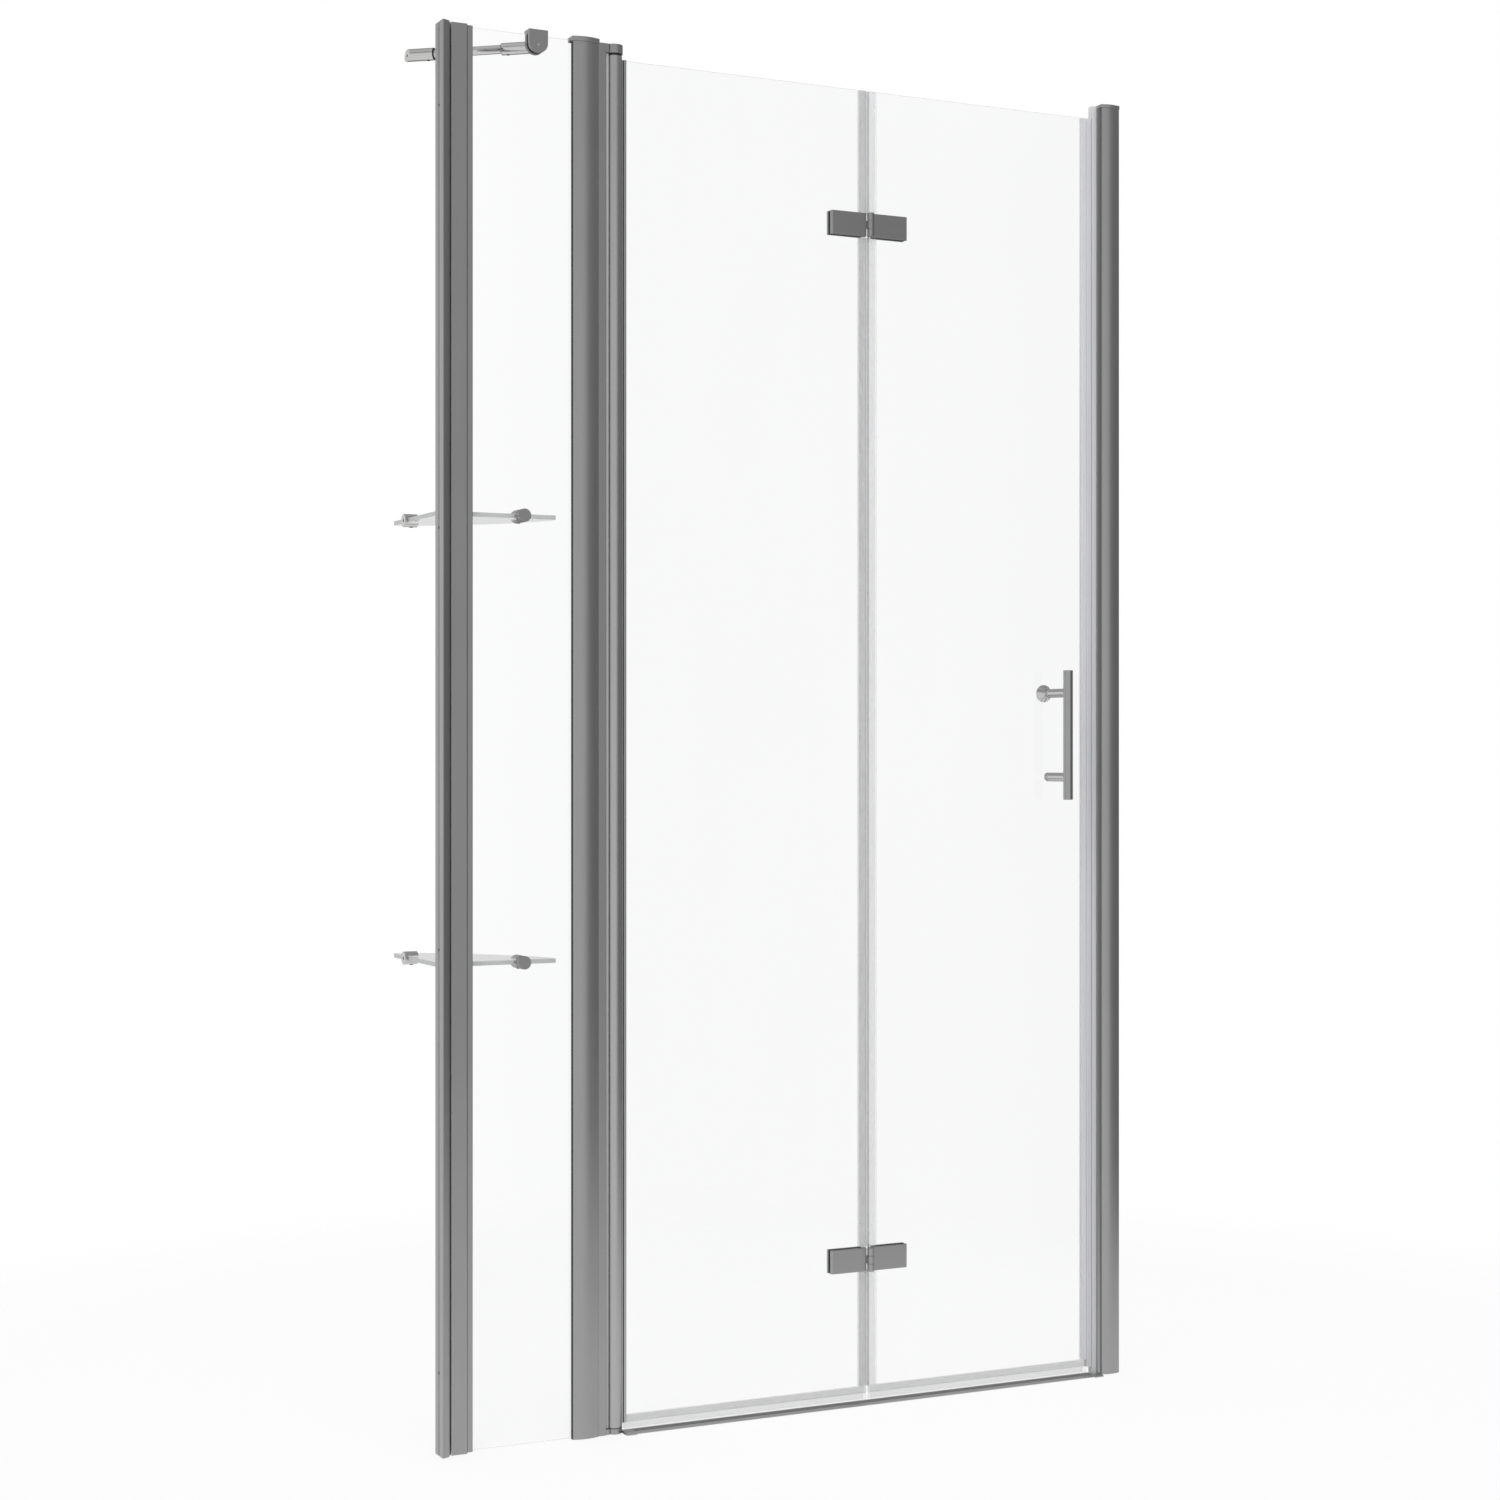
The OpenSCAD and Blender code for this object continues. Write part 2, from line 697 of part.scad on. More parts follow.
module post_chambers() {
    pocket_x1 = post_x0 + post_pocket_d;
    intersection() {
        front_circle(post_x0, post_x1, post_front, post_bow, post_t);
        union() {
            rect(pocket_x1 + post_t, post_x1 - post_t, -post_front - post_bow, post_back - post_t);
            rect(post_x0 + post_t, pocket_x1, -post_front - post_bow, -post_pocket_half - post_t);
        }
    }
}

module middle_post() {
    color("#a3a6a8") from_wall() upright(0, post_top) difference() {
        bowed_outline(post_x0, post_x1, post_front, post_bow, post_back, 0);
        rect(post_x0 - eps, post_x0 + post_pocket_d, -post_pocket_half, post_pocket_half);
        rect(post_x0 - eps, rear_lip_x, 0, post_back + eps);
        post_chambers();
        rect(post_x1 - post_t - eps, post_x1 + eps, -tongue_half, tongue_half);
    }
}

module post_cap() {
    lug_x0 = post_x0 + post_pocket_d + post_t + pass_gap;
    lug_x1 = post_x1 - post_t - head_t - 2 * pass_gap;
    color("#b4b7b9") from_wall() difference() {
        union() {
            upright(post_top, post_top + post_cap_t)
                bowed_outline(post_x0, post_x1, post_front, post_bow, post_back, cap_over);
            block(lug_x0, lug_x1, -post_front + post_t + pass_gap, post_back - post_t - pass_gap,
                post_top - cap_lug, post_top + eps);
        }
        // room for the pane's corner and for the pivot profile beside the post
        block(post_x0 - 2 * cap_over, fixed_x1 + pass_gap, -glass_half - pass_gap, glass_half + pass_gap,
            post_top - eps, fixed_top + pass_gap);
        block(post_x1, post_x1 + 2 * cap_over, -post_front - eps, post_back + 2 * cap_over,
            post_top - eps, pivot_top + pass_gap);
        upright(post_top - cap_lug - eps, pivot_top + pass_gap) tongue_outline(pass_gap);
    }
}

// ---- pivot profile, blocks and pins ----

// T-shaped tongue of the pivot profile in the post's slot, grown by gap
module tongue_outline(gap) {
    neck = tongue_half - slide_gap;
    head_x1 = post_x1 - post_t - slide_gap;
    rect(head_x1 - head_t - gap, head_x1 + gap, -head_half - gap, head_half + gap);
    rect(head_x1 - gap, pivot_x0 + pivot_profile_t, -neck - gap, neck + gap);
}

module pivot_profile() {
    color("#9da0a3") from_wall() difference() {
        upright(0, pivot_top) {
            difference() {
                rect(pivot_x0, pivot_x1, -pivot_profile_half, pivot_profile_half);
                rect(pivot_x0 + pivot_profile_t, pivot_x1 - pivot_profile_t,
                    -pivot_profile_half + pivot_profile_t, pivot_profile_half - pivot_profile_t);
                rect(pivot_x1 - pivot_profile_t - eps, pivot_x1 + eps,
                    -wiper_neck - slide_gap, wiper_neck + slide_gap);
            }
            tongue_outline(0);
        }
        // mouths for the arms of the two pivot blocks
        block(pivot_x1 - pivot_profile_t - eps, pivot_x1 + eps, -block_half - slide_gap,
            block_half + slide_gap, upper_block_z - slide_gap, pivot_top + eps);
        block(pivot_x1 - pivot_profile_t - eps, pivot_x1 + eps, -block_half - slide_gap,
            block_half + slide_gap, -eps, lower_block_top + slide_gap);
    }
}

module pivot_wiper_seal() {
    root_x1 = pivot_x1 - pivot_profile_t - slide_gap;
    color("#9fa2a6") from_wall()
        upright(lower_block_top + 2 * pass_gap, upper_block_z - 2 * pass_gap) {
            difference() {
                rect(pivot_x1, pivot_x - wiper_half, -wiper_half, wiper_half);
                translate([pivot_x, 0]) circle(stile_r + pass_gap);
            }
            rect(root_x1 - eps, pivot_x1 + eps / 2, -wiper_neck, wiper_neck);
            rect(root_x1 - eps, root_x1, -wiper_head, wiper_head);
        }
}

// Outline of a pivot block: round bearing and the arm in the pivot profile
module block_outline(r) {
    translate([pivot_x, 0]) circle(r);
    rect(pivot_x0 + pivot_profile_t + slide_gap, pivot_x, -block_half, block_half);
    rect(pivot_x1, pivot_x1 + block_out, -pivot_profile_half, pivot_profile_half);
}

module upper_pivot_block() {
    color("#b9bcbe") from_wall() difference() {
        upright(upper_block_z, pivot_top) block_outline(block_r);
        rod_z(upper_block_z - eps, pivot_top - bore_end, pivot_x, 0, pivot_pin_r + fit_gap);
    }
}

module lower_pivot_block() {
    color("#b9bcbe") from_wall() difference() {
        upright(lower_block_lift, lower_block_top) block_outline(lower_block_r);
        rod_z(lower_block_lift + bore_end, lower_block_top + eps, pivot_x, 0, pivot_pin_r + fit_gap);
    }
}

module pivot_pins() {
    color("#c6c9cb") from_wall() {
        rod_z(stile_top - pin_reach, pivot_top - bore_end - pin_end_gap, pivot_x, 0, pivot_pin_r);
        rod_z(lower_block_lift + bore_end + pin_end_gap, stile_lift + pin_reach, pivot_x, 0, pivot_pin_r);
    }
}

// ---- right wall profile ----

module right_wall_profile() {
    color("#8d9093") from_wall() difference() {
        upright(0, right_top) difference() {
            bowed_outline(right_x0, opening_w, right_front, right_bow, channel_back, 0);
            rect(right_x0 - eps, opening_w - wall_web_t, -right_front + channel_t,
                channel_back - channel_t);
            intersection() {
                front_circle(right_x0, opening_w, right_front, right_bow, channel_t);
                rect(right_x0 + channel_t, opening_w - wall_web_t, -right_front - right_bow, 0);
            }
        }
        wall_hole_row(opening_w - wall_web_t - eps, opening_w + eps, -guide_y / 2);
        for (z = profile_screw_zs)
            rear_screw(opening_w - screw_x, channel_back, z, screw_r, screw_head_r, screw_len, fit_gap);
    }
}

module right_profile_cap() {
    color("#a7aaac") from_wall() {
        upright(right_top, right_top + right_cap_t) intersection() {
            bowed_outline(right_x0, opening_w, right_front, right_bow, channel_back, cap_over);
            rect(right_x0 - cap_over, opening_w, -right_front - 2 * right_bow, 2 * channel_back);
        }
        block(magnet_x1 + pass_gap, opening_w - wall_web_t - pass_gap,
            -right_front + channel_t + pass_gap, channel_back - channel_t - pass_gap,
            right_top - cap_lug, right_top + eps);
    }
}

module magnet_profile() {
    web_x = right_x0 - adjust_t;
    color("#83868a") from_wall() difference() {
        upright(0, right_top) {
            rect(magnet_x0, magnet_x1, -magnet_front, -magnet_front + adjust_t);
            rect(magnet_x0, magnet_x1, adjust_back - adjust_t, adjust_back);
            rect(web_x, web_x + adjust_t, -magnet_front, adjust_back);
            rect(magnet_x0, magnet_x0 + adjust_t, -magnet_front, -magnet_lip_half);
            rect(magnet_x0, magnet_x0 + adjust_t, magnet_lip_half, adjust_back);
        }
        for (z = profile_screw_zs)
            rear_screw(opening_w - screw_x, channel_back, z, screw_r, screw_head_r, screw_len, fit_gap);
    }
}

module profile_screws() {
    color("#b0b3b5") from_wall() for (x = [screw_x, opening_w - screw_x], z = profile_screw_zs)
        rear_screw(x, channel_back, z, screw_r, screw_head_r, screw_len, 0);
}

// Hollow box of a magnet seal between x0 and x1
module magnet_box(x0, x1) {
    difference() {
        rect(x0, x1, -magnet_box_half, magnet_box_half);
        rect(x0 + magnet_box_t, x1 - magnet_box_t,
            -magnet_box_half + magnet_box_t, magnet_box_half - magnet_box_t);
    }
}

module wall_magnet_seal() {
    neck_half = magnet_lip_half - slide_gap;
    lip_x1 = magnet_x0 + adjust_t + slide_gap;
    head_x1 = right_x0 - adjust_t - slide_gap;
    color("#c3c7cc") from_wall() upright(fixed_glass_lift, fixed_top) {
        magnet_box(wall_seal_x0, wall_seal_x1);
        rect(wall_seal_x1 - magnet_box_t / 2, lip_x1 + eps / 2, -neck_half, neck_half);
        rect(lip_x1, head_x1, -magnet_box_half + slide_gap, adjust_back - adjust_t - slide_gap);
    }
}

module wall_magnet_strip() {
    x0 = wall_seal_x0 + magnet_box_t + magnet_gap;
    half = magnet_box_half - magnet_box_t - magnet_gap;
    color("#3a332e") from_wall() upright(fixed_glass_lift + eps, fixed_top - eps)
        rect(x0, x0 + magnet_t, -half, half);
}

// ---- threshold ----

// Low rail with a sloping front; it grows by over at the top and by out at the front
module rail_section(over, out) {
    polygon([
        [-rail_front - out, 0],
        [-rail_front - out, rail_lip + over],
        [-rail_front - out + rail_slope, rail_h + over],
        [-glass_half, rail_h + over],
        [rail_back, rail_lip + over],
        [rail_back, 0]
    ]);
}

// Section drawn as Y and Z, run along X
module along_x(x0, x1) {
    translate([x0, 0, 0]) rotate([90, 0, 90]) linear_extrude(x1 - x0) children();
}

module threshold_rail() {
    color("#a9acae") from_wall() along_x(rail_x0, rail_x1) rail_section(0, 0);
}

module threshold_end_caps() {
    color("#8a8d90") from_wall() {
        difference() {
            along_x(rail_cap_x0, rail_x0) rail_section(rail_cap_grow, rail_cap_front);
            // hollow end that faces the pivot block, and room for the block itself
            along_x(rail_cap_x0 - eps, rail_x0 - rail_cap_w / 2) intersection() {
                translate([0, -rail_cap_wall])
                    rail_section(rail_cap_grow, rail_cap_front - rail_cap_wall);
                rect(-rail_front - rail_cap_front, -glass_half, rail_cap_floor, rail_h);
            }
            rod_z(-eps, 2 * rail_h, pivot_x, 0, lower_block_r + pass_gap);
        }
        difference() {
            along_x(rail_x1, rail_cap_x1) rail_section(rail_cap_grow, rail_cap_front);
            // room for the seal and the profile on the wall's side
            block(door_seal_x1, right_x0, -magnet_front - pass_gap, 2 * rail_back, -eps, 2 * rail_h);
        }
    }
}

// ---- corner shelves ----

module shelf_outline() {
    x0 = shelf_wall_gap;
    x1 = x0 + shelf_w;
    y1 = shelf_y + shelf_d;
    centre = arc_centre([x1, shelf_y + shelf_end], [x0 + shelf_end, y1], shelf_bow_r);
    intersection() {
        rect(x0, x1, shelf_y, y1);
        translate(centre) circle(shelf_bow_r, $fn = 360);
    }
}

module shelf(z) {
    color("#d5e0e2", 0.5) from_wall()
        upright(z - glass_half, z + glass_half) shelf_outline();
}

module upper_shelf() {
    shelf(shelf_high_z);
}

module lower_shelf() {
    shelf(shelf_low_z);
}

module shelf_wall_brackets() {
    color("#c8cbcd") from_wall() for (z = shelf_zs) difference() {
        rod_x(0, bracket_len, bracket_y, z, holder_r);
        block(slot_web, bracket_len + eps, bracket_y - 2 * holder_r, bracket_y + 2 * holder_r,
            z - glass_half - slot_down, z + glass_half + slot_up);
        rod_x(-eps, slot_web + eps, bracket_y, z, bracket_hole_r);
        rod_z(z - 2 * holder_r, z, bracket_screw_x, bracket_y, set_screw_r + fit_gap);
    }
}

module shelf_clamp_bodies() {
    color("#c8cbcd") from_wall() for (z = shelf_zs) difference() {
        rod_y(washer_y, clamp_y1, clamp_x, z, holder_r);
        block(clamp_x - 2 * holder_r, clamp_x + 2 * holder_r, slot_y, clamp_y1 + eps,
            z - glass_half - slot_down, z + glass_half + slot_up);
        rod_y(0, bolt_bore_y, clamp_x, z, clamp_bolt_r + fit_gap);
        rod_z(z - 2 * holder_r, z, clamp_x, clamp_screw_y, set_screw_r + fit_gap);
    }
}

module shelf_clamp_caps() {
    color("#b5b8ba") from_wall() for (z = shelf_zs) difference() {
        rod_y(-washer_y - clamp_cap_t, -washer_y, clamp_x, z, holder_r);
        rod_y(-washer_y - bolt_tip - fit_gap, 0, clamp_x, z, clamp_bolt_r + fit_gap);
    }
}

module shelf_clamp_washers() {
    color("#d8dcde") from_wall() for (z = shelf_zs, side = [-1, 1])
        collar_washer(clamp_x, z, holder_r, washer_t, clamp_bolt_r, side);
}

module shelf_clamp_bolts() {
    color("#9fa2a4") from_wall() for (z = shelf_zs)
        rod_y(-washer_y - bolt_tip, bolt_end_y, clamp_x, z, clamp_bolt_r);
}

// ---- support bar ----

// Local Z runs along the bar from the fixed pane to the wall
module along_bar() {
    translate([bar_glass_x, top_clamp_y, bar_z]) rotate([0, 0, bar_angle]) rotate([0, 90, 0]) children();
}

module bar_piece(s0, s1, r) {
    along_bar() translate([0, 0, s0]) cylinder(r = r, h = s1 - s0);
}

module support_bar() {
    color("#b3b6b8") from_wall() difference() {
        bar_piece(bar_end_gap, bar_len - bar_end_gap, bar_r);
        bar_piece(bar_end_gap - eps, bar_len - bar_end_gap + eps, bar_r - bar_t);
    }
}

// Screw up into a sleeve at the distance s along the bar, from r0 to r1 below the bar's axis
module sleeve_screw(s, r0, r1, gap) {
    along_bar() translate([r0, 0, s]) rotate([0, 90, 0])
        cylinder(r = small_screw_r + gap, h = r1 - r0);
}

module bar_wall_sleeve() {
    color("#c4c7c9") from_wall() difference() {
        intersection() {
            bar_piece(bar_len - wall_sleeve_len, bar_len + 2 * wall_sleeve_r, wall_sleeve_r);
            block(0, bar_glass_x, 0, 2 * bar_wall_y, bar_z - bar_clear, bar_z + bar_clear);
        }
        bar_piece(bar_len - wall_sleeve_len - eps, bar_len + 2 * wall_sleeve_r, bar_r + fit_gap);
        sleeve_screw(wall_screw_s, 0, wall_sleeve_r + eps, fit_gap);
    }
}

// Foot screwed to the wall; the sleeve slides over it
module bar_wall_foot() {
    color("#c4c7c9") from_wall() difference() {
        intersection() {
            bar_piece(bar_len - wall_sleeve_len, bar_len + 2 * wall_sleeve_r, bar_r);
            block(0, wall_foot_t, 0, 2 * bar_wall_y, bar_z - bar_clear, bar_z + bar_clear);
        }
        rod_x(-eps, wall_foot_t + eps, bar_wall_y, bar_z, bracket_hole_r);
    }
}

module bar_glass_sleeve() {
    color("#c4c7c9") from_wall() difference() {
        intersection() {
            bar_piece(-2 * glass_sleeve_r, glass_sleeve_len, glass_sleeve_r);
            block(0, 2 * bar_glass_x, top_clamp_y, bar_wall_y, bar_z - bar_clear, bar_z + bar_clear);
        }
        intersection() {
            bar_piece(-2 * glass_sleeve_r, glass_sleeve_len + eps, bar_r + fit_gap);
            block(0, 2 * bar_glass_x, top_clamp_y + sleeve_web, bar_wall_y,
                bar_z - bar_clear, bar_z + bar_clear);
        }
        rod_y(0, top_clamp_y + sleeve_web + eps, bar_glass_x, bar_z, stub_screw_r + fit_gap);
        sleeve_screw(glass_screw_s, 0, glass_sleeve_r + eps, fit_gap);
    }
}

module bar_sleeve_rings() {
    color("#1f2022") from_wall() {
        difference() {
            bar_piece(bar_len - wall_sleeve_len - ring_t, bar_len - wall_sleeve_len,
                wall_sleeve_r - ring_step);
            bar_piece(bar_len - wall_sleeve_len - 2 * ring_t, bar_len, bar_r + fit_gap);
        }
        difference() {
            bar_piece(glass_sleeve_len, glass_sleeve_len + ring_t, glass_sleeve_r - ring_step);
            bar_piece(0, glass_sleeve_len + 2 * ring_t, bar_r + fit_gap);
        }
    }
}

// Set screws under the shelf brackets, the shelf clamps and the bar's two sleeves
module set_screws() {
    color("#1b1b1d") from_wall() {
        for (z = shelf_zs, place = [[bracket_screw_x, bracket_y], [clamp_x, clamp_screw_y]])
            rod_z(z - holder_r - eps / 2, z - glass_half - set_screw_tip, place[0], place[1],
                set_screw_r);
        sleeve_screw(wall_screw_s, bar_r + fit_gap, wall_sleeve_r + screw_proud, 0);
        sleeve_screw(glass_screw_s, bar_r + fit_gap, glass_sleeve_r + screw_proud, 0);
    }
}

// Round-footed outline of the top clamp as X and Z, made smaller by inset
module clamp_outline(inset) {
    translate([bar_glass_x, top_clamp_z0]) circle(top_clamp_half - inset);
    rect(bar_glass_x - top_clamp_half + inset, bar_glass_x + top_clamp_half - inset,
        top_clamp_z0, top_clamp_z1);
}

// Outline drawn as X and Z, run along Y
module along_y(y0, y1) {
    translate([0, y1, 0]) rotate([90, 0, 0]) linear_extrude(y1 - y0) children();
}

module glass_clamp() {
    slot_top = fixed_top + top_gasket_t;
    color("#b7babc") from_wall() difference() {
        along_y(-top_clamp_y, top_clamp_y) clamp_outline(0);
        block(0, 2 * bar_glass_x, -top_slot_half, top_slot_half, 0, slot_top);
        rod_y(-top_clamp_y - eps, -top_slot_half + eps, bar_glass_x, bar_z, small_screw_r + fit_gap);
        rear_screw_forward(fit_gap);
    }
}

module clamp_gasket() {
    color("#1b1b1d") from_wall() difference() {
        intersection() {
            along_y(-top_slot_half, top_slot_half) clamp_outline(top_gasket_inset);
            block(0, 2 * bar_glass_x, -top_slot_half, top_slot_half, 0, fixed_top + top_gasket_t);
        }
        block(0, 2 * bar_glass_x, -glass_half, glass_half, 0, fixed_top);
    }
}

// Countersunk screw from the clamp's slot into the glass sleeve, grown by gap
module rear_screw_forward(gap) {
    translate([bar_glass_x, top_slot_half, bar_z]) rotate([-90, 0, 0]) {
        cylinder(r = stub_screw_r + gap, h = top_clamp_y + sleeve_web - top_slot_half);
        cylinder(r1 = stub_screw_r + stub_head_t + gap, r2 = stub_screw_r + gap, h = stub_head_t);
    }
}

module clamp_screws() {
    color("#2a2b2d") from_wall() {
        rod_y(-top_clamp_y, -top_slot_half, bar_glass_x, bar_z, small_screw_r);
        rear_screw_forward(0);
    }
}

// ---- inner leaf ----

module door_stile() {
    color("#a0a3a5") from_wall() difference() {
        union() {
            rod_z(stile_lift, stile_top, pivot_x, 0, stile_r);
            // the jaws that hold the pane stop at its lower and upper edges
            block(pivot_x, stile_end, -stile_half, stile_half, door_glass_lift + pass_gap, door_top);
        }
        block(stile_pocket_x, stile_end + eps, -stile_pocket_half, stile_pocket_half, 0, profile_h);
        block(stile_groove_x, stile_groove_x + stile_groove_w,
            -stile_half - eps, -stile_half + stile_groove_d, 0, profile_h);
        rod_z(0, profile_h, pivot_x, 0, bush_r);
    }
}

module stile_gaskets() {
    color("#26272a") from_wall() upright(door_glass_lift + pass_gap, door_top) {
        rect(stile_pocket_x + gasket_gap, stile_end - gasket_gap, -stile_pocket_half, -glass_half);
        rect(stile_pocket_x + gasket_gap, stile_end - gasket_gap, glass_half, stile_pocket_half);
    }
}

module pivot_bushes() {
    color("#141416") from_wall() difference() {
        union() {
            rod_z(stile_top - bush_len, stile_top + eps / 2, pivot_x, 0, bush_r - fit_gap);
            rod_z(stile_top, upper_block_z - bush_gap, pivot_x, 0, flange_r);
            rod_z(stile_lift - eps / 2, stile_lift + bush_len, pivot_x, 0, bush_r - fit_gap);
            rod_z(lower_block_top + bush_gap, stile_lift, pivot_x, 0, flange_r);
        }
        rod_z(0, profile_h, pivot_x, 0, pivot_pin_r + run_gap);
    }
}

module hinge_glass_holes(side) {
    for (z = hinge_zs, dx = [-0.5, 0.5])
        rod_y(-glass_t, glass_t, fold_x + side * (hinge_screw_mid + dx * hinge_screw_pitch), z,
            glass_hole_r);
}

module inner_glass() {
    color("#dfe8ea", 0.4) from_wall() difference() {
        block(inner_x0, inner_x1, -glass_half, glass_half, door_glass_lift, door_top);
        hinge_glass_holes(-1);
    }
}

// Height ranges of a centre seal: from the drip seal to the top, broken at the hinges
function centre_spans() = [
    [drip_top + pass_gap, hinge_zs[0] - hinge_h / 2 - pass_gap],
    [hinge_zs[0] + hinge_h / 2 + pass_gap, hinge_zs[1] - hinge_h / 2 - pass_gap],
    [hinge_zs[1] + hinge_h / 2 + pass_gap, door_top]
];

// U seal on a pane's fold edge; x grows from the pane's edge towards the fold axis
module centre_section(nose_x) {
    rect(-centre_leg, 0, -seal_back, -glass_half);
    rect(-centre_leg, 0, glass_half, seal_back);
    rect(0, seal_web_t, -seal_back, seal_back);
    rect(seal_web_t - eps / 2, nose_x, -seal_back, -seal_back + seal_web_t);
    rect(seal_web_t - eps / 2, nose_x, seal_back - seal_web_t, seal_back);
}

module inner_centre_seal() {
    color("#c2c7cd") from_wall() for (s = centre_spans()) upright(s[0], s[1])
        translate([inner_x1, 0]) centre_section(leaf_gap - seal_nose_gap);
}

module drip_leg_half() {
    rect(glass_half, seal_back, door_glass_lift - seal_leg_t / 2, drip_top);
}

module drip_fin_half() {
    rect(0, seal_back, drip_web_z, door_glass_lift);
    polygon([
        [fin_y0, drip_web_z + seal_leg_t / 2],
        [fin_y0 - seal_leg_t, drip_web_z + seal_leg_t / 2],
        [fin_y1 - fin_tip_t, drip_clear],
        [fin_y1, drip_clear]
    ]);
}

// Drawn on one side of the glass and mirrored to the other
module both_sides() {
    children();
    mirror([1, 0]) children();
}

// Seal under a pane; its fins can start beside its legs
module drip_seal(leg_x0, fin_x0, x1) {
    along_x(leg_x0, x1) both_sides() drip_leg_half();
    along_x(fin_x0, x1) both_sides() drip_fin_half();
}

module inner_drip_seal() {
    color("#cfd3d8") from_wall()
        drip_seal(stile_end + drip_end_gap, stile_end - drip_tuck, inner_x1 - drip_end_gap);
}

// Places what is drawn from the fold axis outwards on one leaf: -1 inner, 1 outer
module on_leaf(side) {
    translate([fold_x, 0, 0])
        if (side < 0) mirror([1, 0, 0]) children();
        else children();
}

module hinge_screw_holes(z, r, y0, y1) {
    for (dx = [-0.5, 0.5])
        rod_y(y0, y1, hinge_screw_mid + dx * hinge_screw_pitch, z, r);
}

// Front plate with its knuckles; spans are the knuckles' height ranges about the middle
module hinge_plate(z, spans) {
    difference() {
        union() {
            upright(z - hinge_h / 2, z + hinge_h / 2) polygon([
                [hinge_inset, -hinge_seat],
                [hinge_inset, -hinge_face],
                [hinge_reach - plate_bevel, -hinge_face],
                [hinge_reach, -hinge_face + plate_bevel],
                [hinge_reach, -hinge_seat]
            ]);
            for (s = spans) upright(z + s[0], z + s[1]) {
                translate([0, fold_y]) circle(knuckle_r);
                rect(0, hinge_inset + arm_bite, -hinge_face, -hinge_face + arm_t);
            }
        }
        rod_z(z - hinge_h, z + hinge_h, 0, fold_y, fold_pin_r + run_gap);
        hinge_screw_holes(z, hinge_screw_r + fit_gap, -hinge_face + hinge_screw_tip, 0);
    }
}

module hinge_gasket(z) {
    for (side = [-1, 1]) difference() {
        union() {
            x0 = side < 0 ? hinge_inset : hinge_back_x;
            translate([x0, side < 0 ? -hinge_seat : glass_half, z - hinge_h / 2])
                cube([hinge_reach - x0, hinge_gasket_t, hinge_h]);
            hinge_screw_holes(z, glass_hole_r - collar_gap,
                side < 0 ? -glass_half - hinge_gasket_t / 2 : collar_gap,
                side < 0 ? -collar_gap : glass_half + hinge_gasket_t / 2);
        }
        hinge_screw_holes(z, hinge_screw_r + fit_gap, -hinge_seat - eps, hinge_seat + eps);
    }
}

module hinge_screw(z, gap) {
    for (dx = [-0.5, 0.5])
        rear_screw(hinge_screw_mid + dx * hinge_screw_pitch, hinge_seat + hinge_back_t, z,
            hinge_screw_r, hinge_screw_head_r, hinge_screw_len, gap);
}

module hinge_back(z) {
    difference() {
        block(hinge_back_x, hinge_reach, hinge_seat, hinge_seat + hinge_back_t,
            z - hinge_h / 2, z + hinge_h / 2);
        hinge_screw(z, fit_gap);
    }
}

module inner_hinge_plates() {
    color("#8b8e91") from_wall() on_leaf(-1) for (z = hinge_zs)
        hinge_plate(z, [[-knuckle_half, knuckle_half]]);
}

module outer_hinge_plates() {
    color("#8b8e91") from_wall() on_leaf(1) for (z = hinge_zs)
        hinge_plate(z, [[-hinge_h / 2, -knuckle_half - pass_gap], [knuckle_half + pass_gap, hinge_h / 2]]);
}

module inner_hinge_backs() {
    color("#8b8e91") from_wall() on_leaf(-1) for (z = hinge_zs) hinge_back(z);
}

module outer_hinge_backs() {
    color("#8b8e91") from_wall() on_leaf(1) for (z = hinge_zs) hinge_back(z);
}

module inner_hinge_gaskets() {
    color("#141416") from_wall() on_leaf(-1) for (z = hinge_zs) hinge_gasket(z);
}

module outer_hinge_gaskets() {
    color("#141416") from_wall() on_leaf(1) for (z = hinge_zs) hinge_gasket(z);
}

module inner_hinge_screws() {
    color("#b0b3b5") from_wall() on_leaf(-1) for (z = hinge_zs) hinge_screw(z, 0);
}

module outer_hinge_screws() {
    color("#b0b3b5") from_wall() on_leaf(1) for (z = hinge_zs) hinge_screw(z, 0);
}

module fold_pins() {
    color("#c6c9cb") from_wall() on_leaf(1) for (z = hinge_zs)
        rod_z(z - hinge_h / 2, z + hinge_h / 2, 0, fold_y, fold_pin_r);
}

// ---- outer leaf ----

module outer_glass() {
    color("#dfe8ea", 0.4) from_wall() difference() {
        block(outer_x0, outer_x1, -glass_half, glass_half, door_glass_lift, door_top);
        hinge_glass_holes(1);
        for (z = handle_post_zs)
            rod_y(-glass_t, glass_t, handle_x, z, glass_hole_r);
    }
}

module outer_centre_seal() {
    color("#dadde1") from_wall() for (s = centre_spans()) upright(s[0], s[1])
        translate([outer_x0, 0]) mirror([1, 0]) centre_section(leaf_gap - seal_nose_gap);
}

module outer_drip_seal() {
    color("#cfd3d8") from_wall()
        drip_seal(outer_x0 + drip_end_gap, outer_x0 + drip_end_gap, outer_x1 - drip_end_gap);
}

module door_magnet_seal() {
    color("#c3c7cc") from_wall() {
        upright(drip_web_z, door_top) magnet_box(door_seal_x0, door_seal_x1);
        upright(drip_top + pass_gap, door_top) for (side = [-1, 1])
            rect(outer_x1 - magnet_leg, door_seal_x0 + magnet_box_t / 2,
                side < 0 ? -seal_back : glass_half, side < 0 ? -glass_half : seal_back);
    }
}

module door_magnet_strip() {
    x1 = door_seal_x1 - magnet_box_t - magnet_gap;
    half = magnet_box_half - magnet_box_t - magnet_gap;
    color("#3a332e") from_wall() upright(drip_web_z + eps, door_top - eps)
        rect(x1 - magnet_t, x1, -half, half);
}

